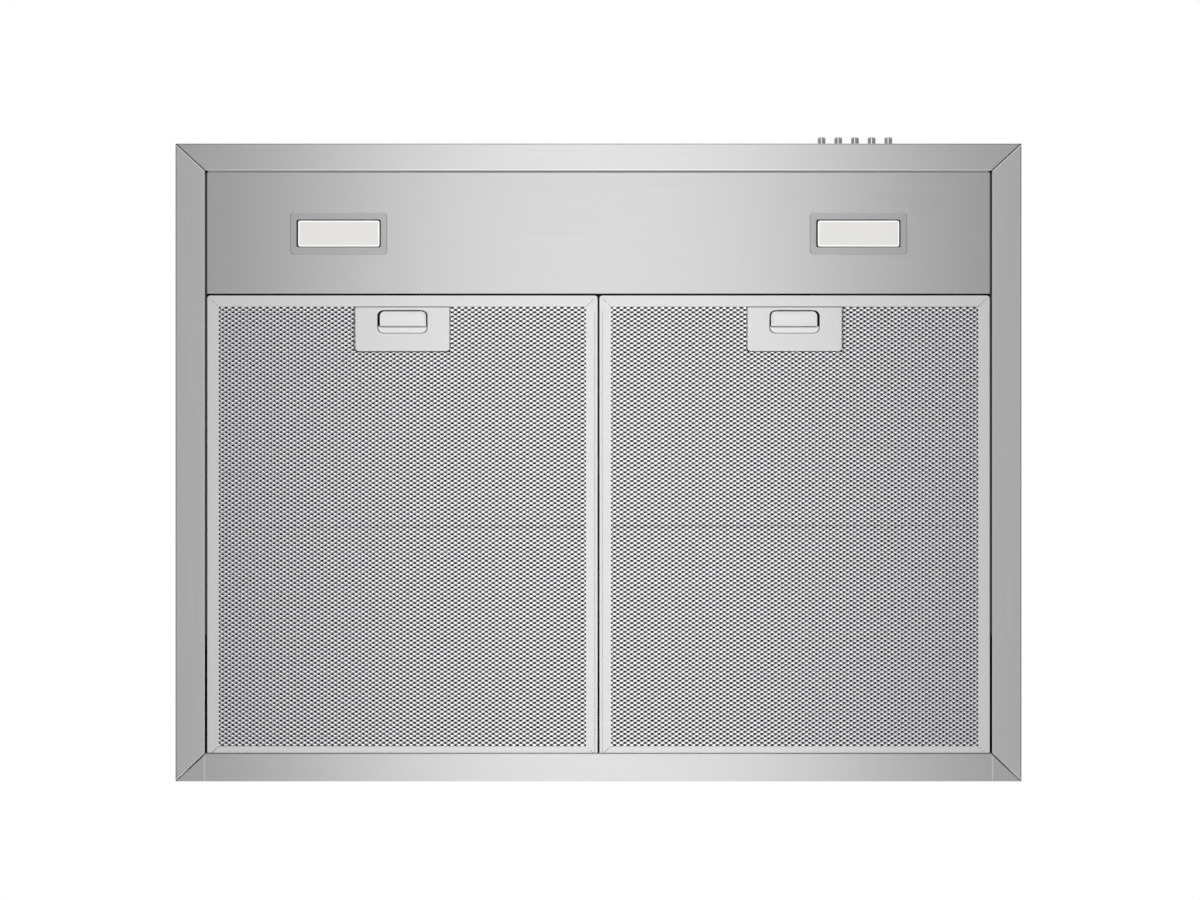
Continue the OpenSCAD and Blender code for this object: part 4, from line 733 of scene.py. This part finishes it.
# Stage: a plain pale painted floor and a white room. The floor is so far below that it stays under the camera
# in every view from below. The room is brighter toward the front left, and the camera sees it pure white.
FLOOR_LEVEL, FLOOR_WIDE = -14.0, 140
bpy.ops.object.select_all(action="DESELECT")
bpy.ops.mesh.primitive_plane_add(size=FLOOR_WIDE, location=(0, 0, FLOOR_LEVEL))
floor = bpy.context.object
floor.name = "pale_floor"
pale, tree, shader = new_material("pale_floor_paint", Base_Color=linear("#E6E6E4"), Roughness=0.8)
floor.data.materials.append(pale)
floor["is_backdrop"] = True

world = bpy.data.worlds.new("white_room")
bpy.context.scene.world = world
world.use_nodes = True
tree = world.node_tree
tree.nodes.clear()
WHITE = linear("#FFFFFF")
FRONT_LEFT = (-0.6, -0.8, 0.0)
way = add_node(tree, "ShaderNodeTexCoord").outputs["Generated"]
toward = add_node(tree, "ShaderNodeVectorMath", {0: way, 1: FRONT_LEFT}, operation="DOT_PRODUCT")
dim = add_node(tree, "ShaderNodeMapRange", {"Value": toward.outputs["Value"], "From Min": -1.0,
                                            "From Max": 1.0, "To Min": 0.3, "To Max": 0.65})
soft = add_node(tree, "ShaderNodeBackground", {"Color": WHITE, "Strength": dim})
white = add_node(tree, "ShaderNodeBackground", {"Color": WHITE, "Strength": 1.0})
seen = add_node(tree, "ShaderNodeLightPath").outputs["Is Camera Ray"]
both = add_node(tree, "ShaderNodeMixShader", {0: seen, 1: soft, 2: white})
add_node(tree, "ShaderNodeOutputWorld", {"Surface": both})


def soft_light(name, place, aim, wide, deep, shine):
    """A rectangular studio light at a place, aimed at a point, as bright as the given radiance."""
    lamp = bpy.data.lights.new(name, "AREA")
    lamp.shape = "RECTANGLE"
    lamp.size = wide
    lamp.size_y = deep
    lamp.energy = shine * math.pi * wide * deep
    holder = bpy.data.objects.new(name, lamp)
    bpy.context.scene.collection.objects.link(holder)
    holder.location = place
    holder.rotation_euler = (Vector(aim) - Vector(place)).to_track_quat("-Z", "Y").to_euler()
    holder.visible_camera = False


# Studio lights. The one below is narrow, so flat sheets are brightest in the middle. Those in front and
# behind stand too low for a flat sheet to mirror them: they brighten the lenses, the nets' knots and the
# folded edges. The four above light the canopy and the chimney, which the photograph's view hides.
MIDDLE_Y = -0.29
UNDERSIDE, WALLS = (0, MIDDLE_Y, 0), (0, MIDDLE_Y, 0.4)
soft_light("light_below", (0.0, -0.3, -1.5), UNDERSIDE, 0.55, 1.5, 1.4)
for name, place, shine in (("light_front", (0.0, -2.3, -1.5), 2.2), ("light_rear", (0.0, 1.7, -1.5), 1.6),
                           ("light_high_left", (-2.0, -2.2, 1.8), 1.5),
                           ("light_high_right", (2.6, -1.4, 0.9), 1.5),
                           ("light_high_rear", (1.2, 2.4, 1.6), 1.8), ("light_top", (0.2, -0.6, 3.0), 1.4)):
    soft_light(name, place, UNDERSIDE, 1.2, 1.2, shine)
# Upright strips at the four corners, which the chimney's and the canopy's walls mirror
for name, x, y, shine in (("strip_front_left", -2.0, -3.1, 1.4), ("strip_front_right", 2.0, -3.1, 1.2),
                          ("strip_rear_left", -2.0, 2.5, 1.1), ("strip_rear_right", 2.0, 2.5, 1.3)):
    soft_light(name, (x, y, -0.7), WALLS, 0.6, 1.8, shine)

# Camera: 6 m under the rim, looking straight up, with the hood's front at the top of the picture. In the
# picture's 1200 by 900 pixels, the hood's front edge lies on row 143.5, and its middle is 1.5 pixels left of
# the picture's middle. A pixel is 0.8983 mm at the rim.
PIXEL, DISTANCE, SENSOR = 0.8983 * MM, 6.0, 36
PICTURE_WIDE, MIDDLE_ROW, FRONT_ROW, OFF_MIDDLE = 1200, 450, 143.5, 1.5
eye = bpy.data.cameras.new("photo_camera")
eye.sensor_width = SENSOR
eye.lens = SENSOR * DISTANCE / (PICTURE_WIDE * PIXEL)
camera = bpy.data.objects.new("photo_camera", eye)
bpy.context.scene.collection.objects.link(camera)
camera.location = (OFF_MIDDLE * PIXEL, -hood_deep + (MIDDLE_ROW - FRONT_ROW) * PIXEL, -DISTANCE)
camera.rotation_euler = (math.pi, 0, 0)
bpy.context.scene.camera = camera
bpy.context.scene.view_settings.view_transform = "Standard"

low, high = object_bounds()
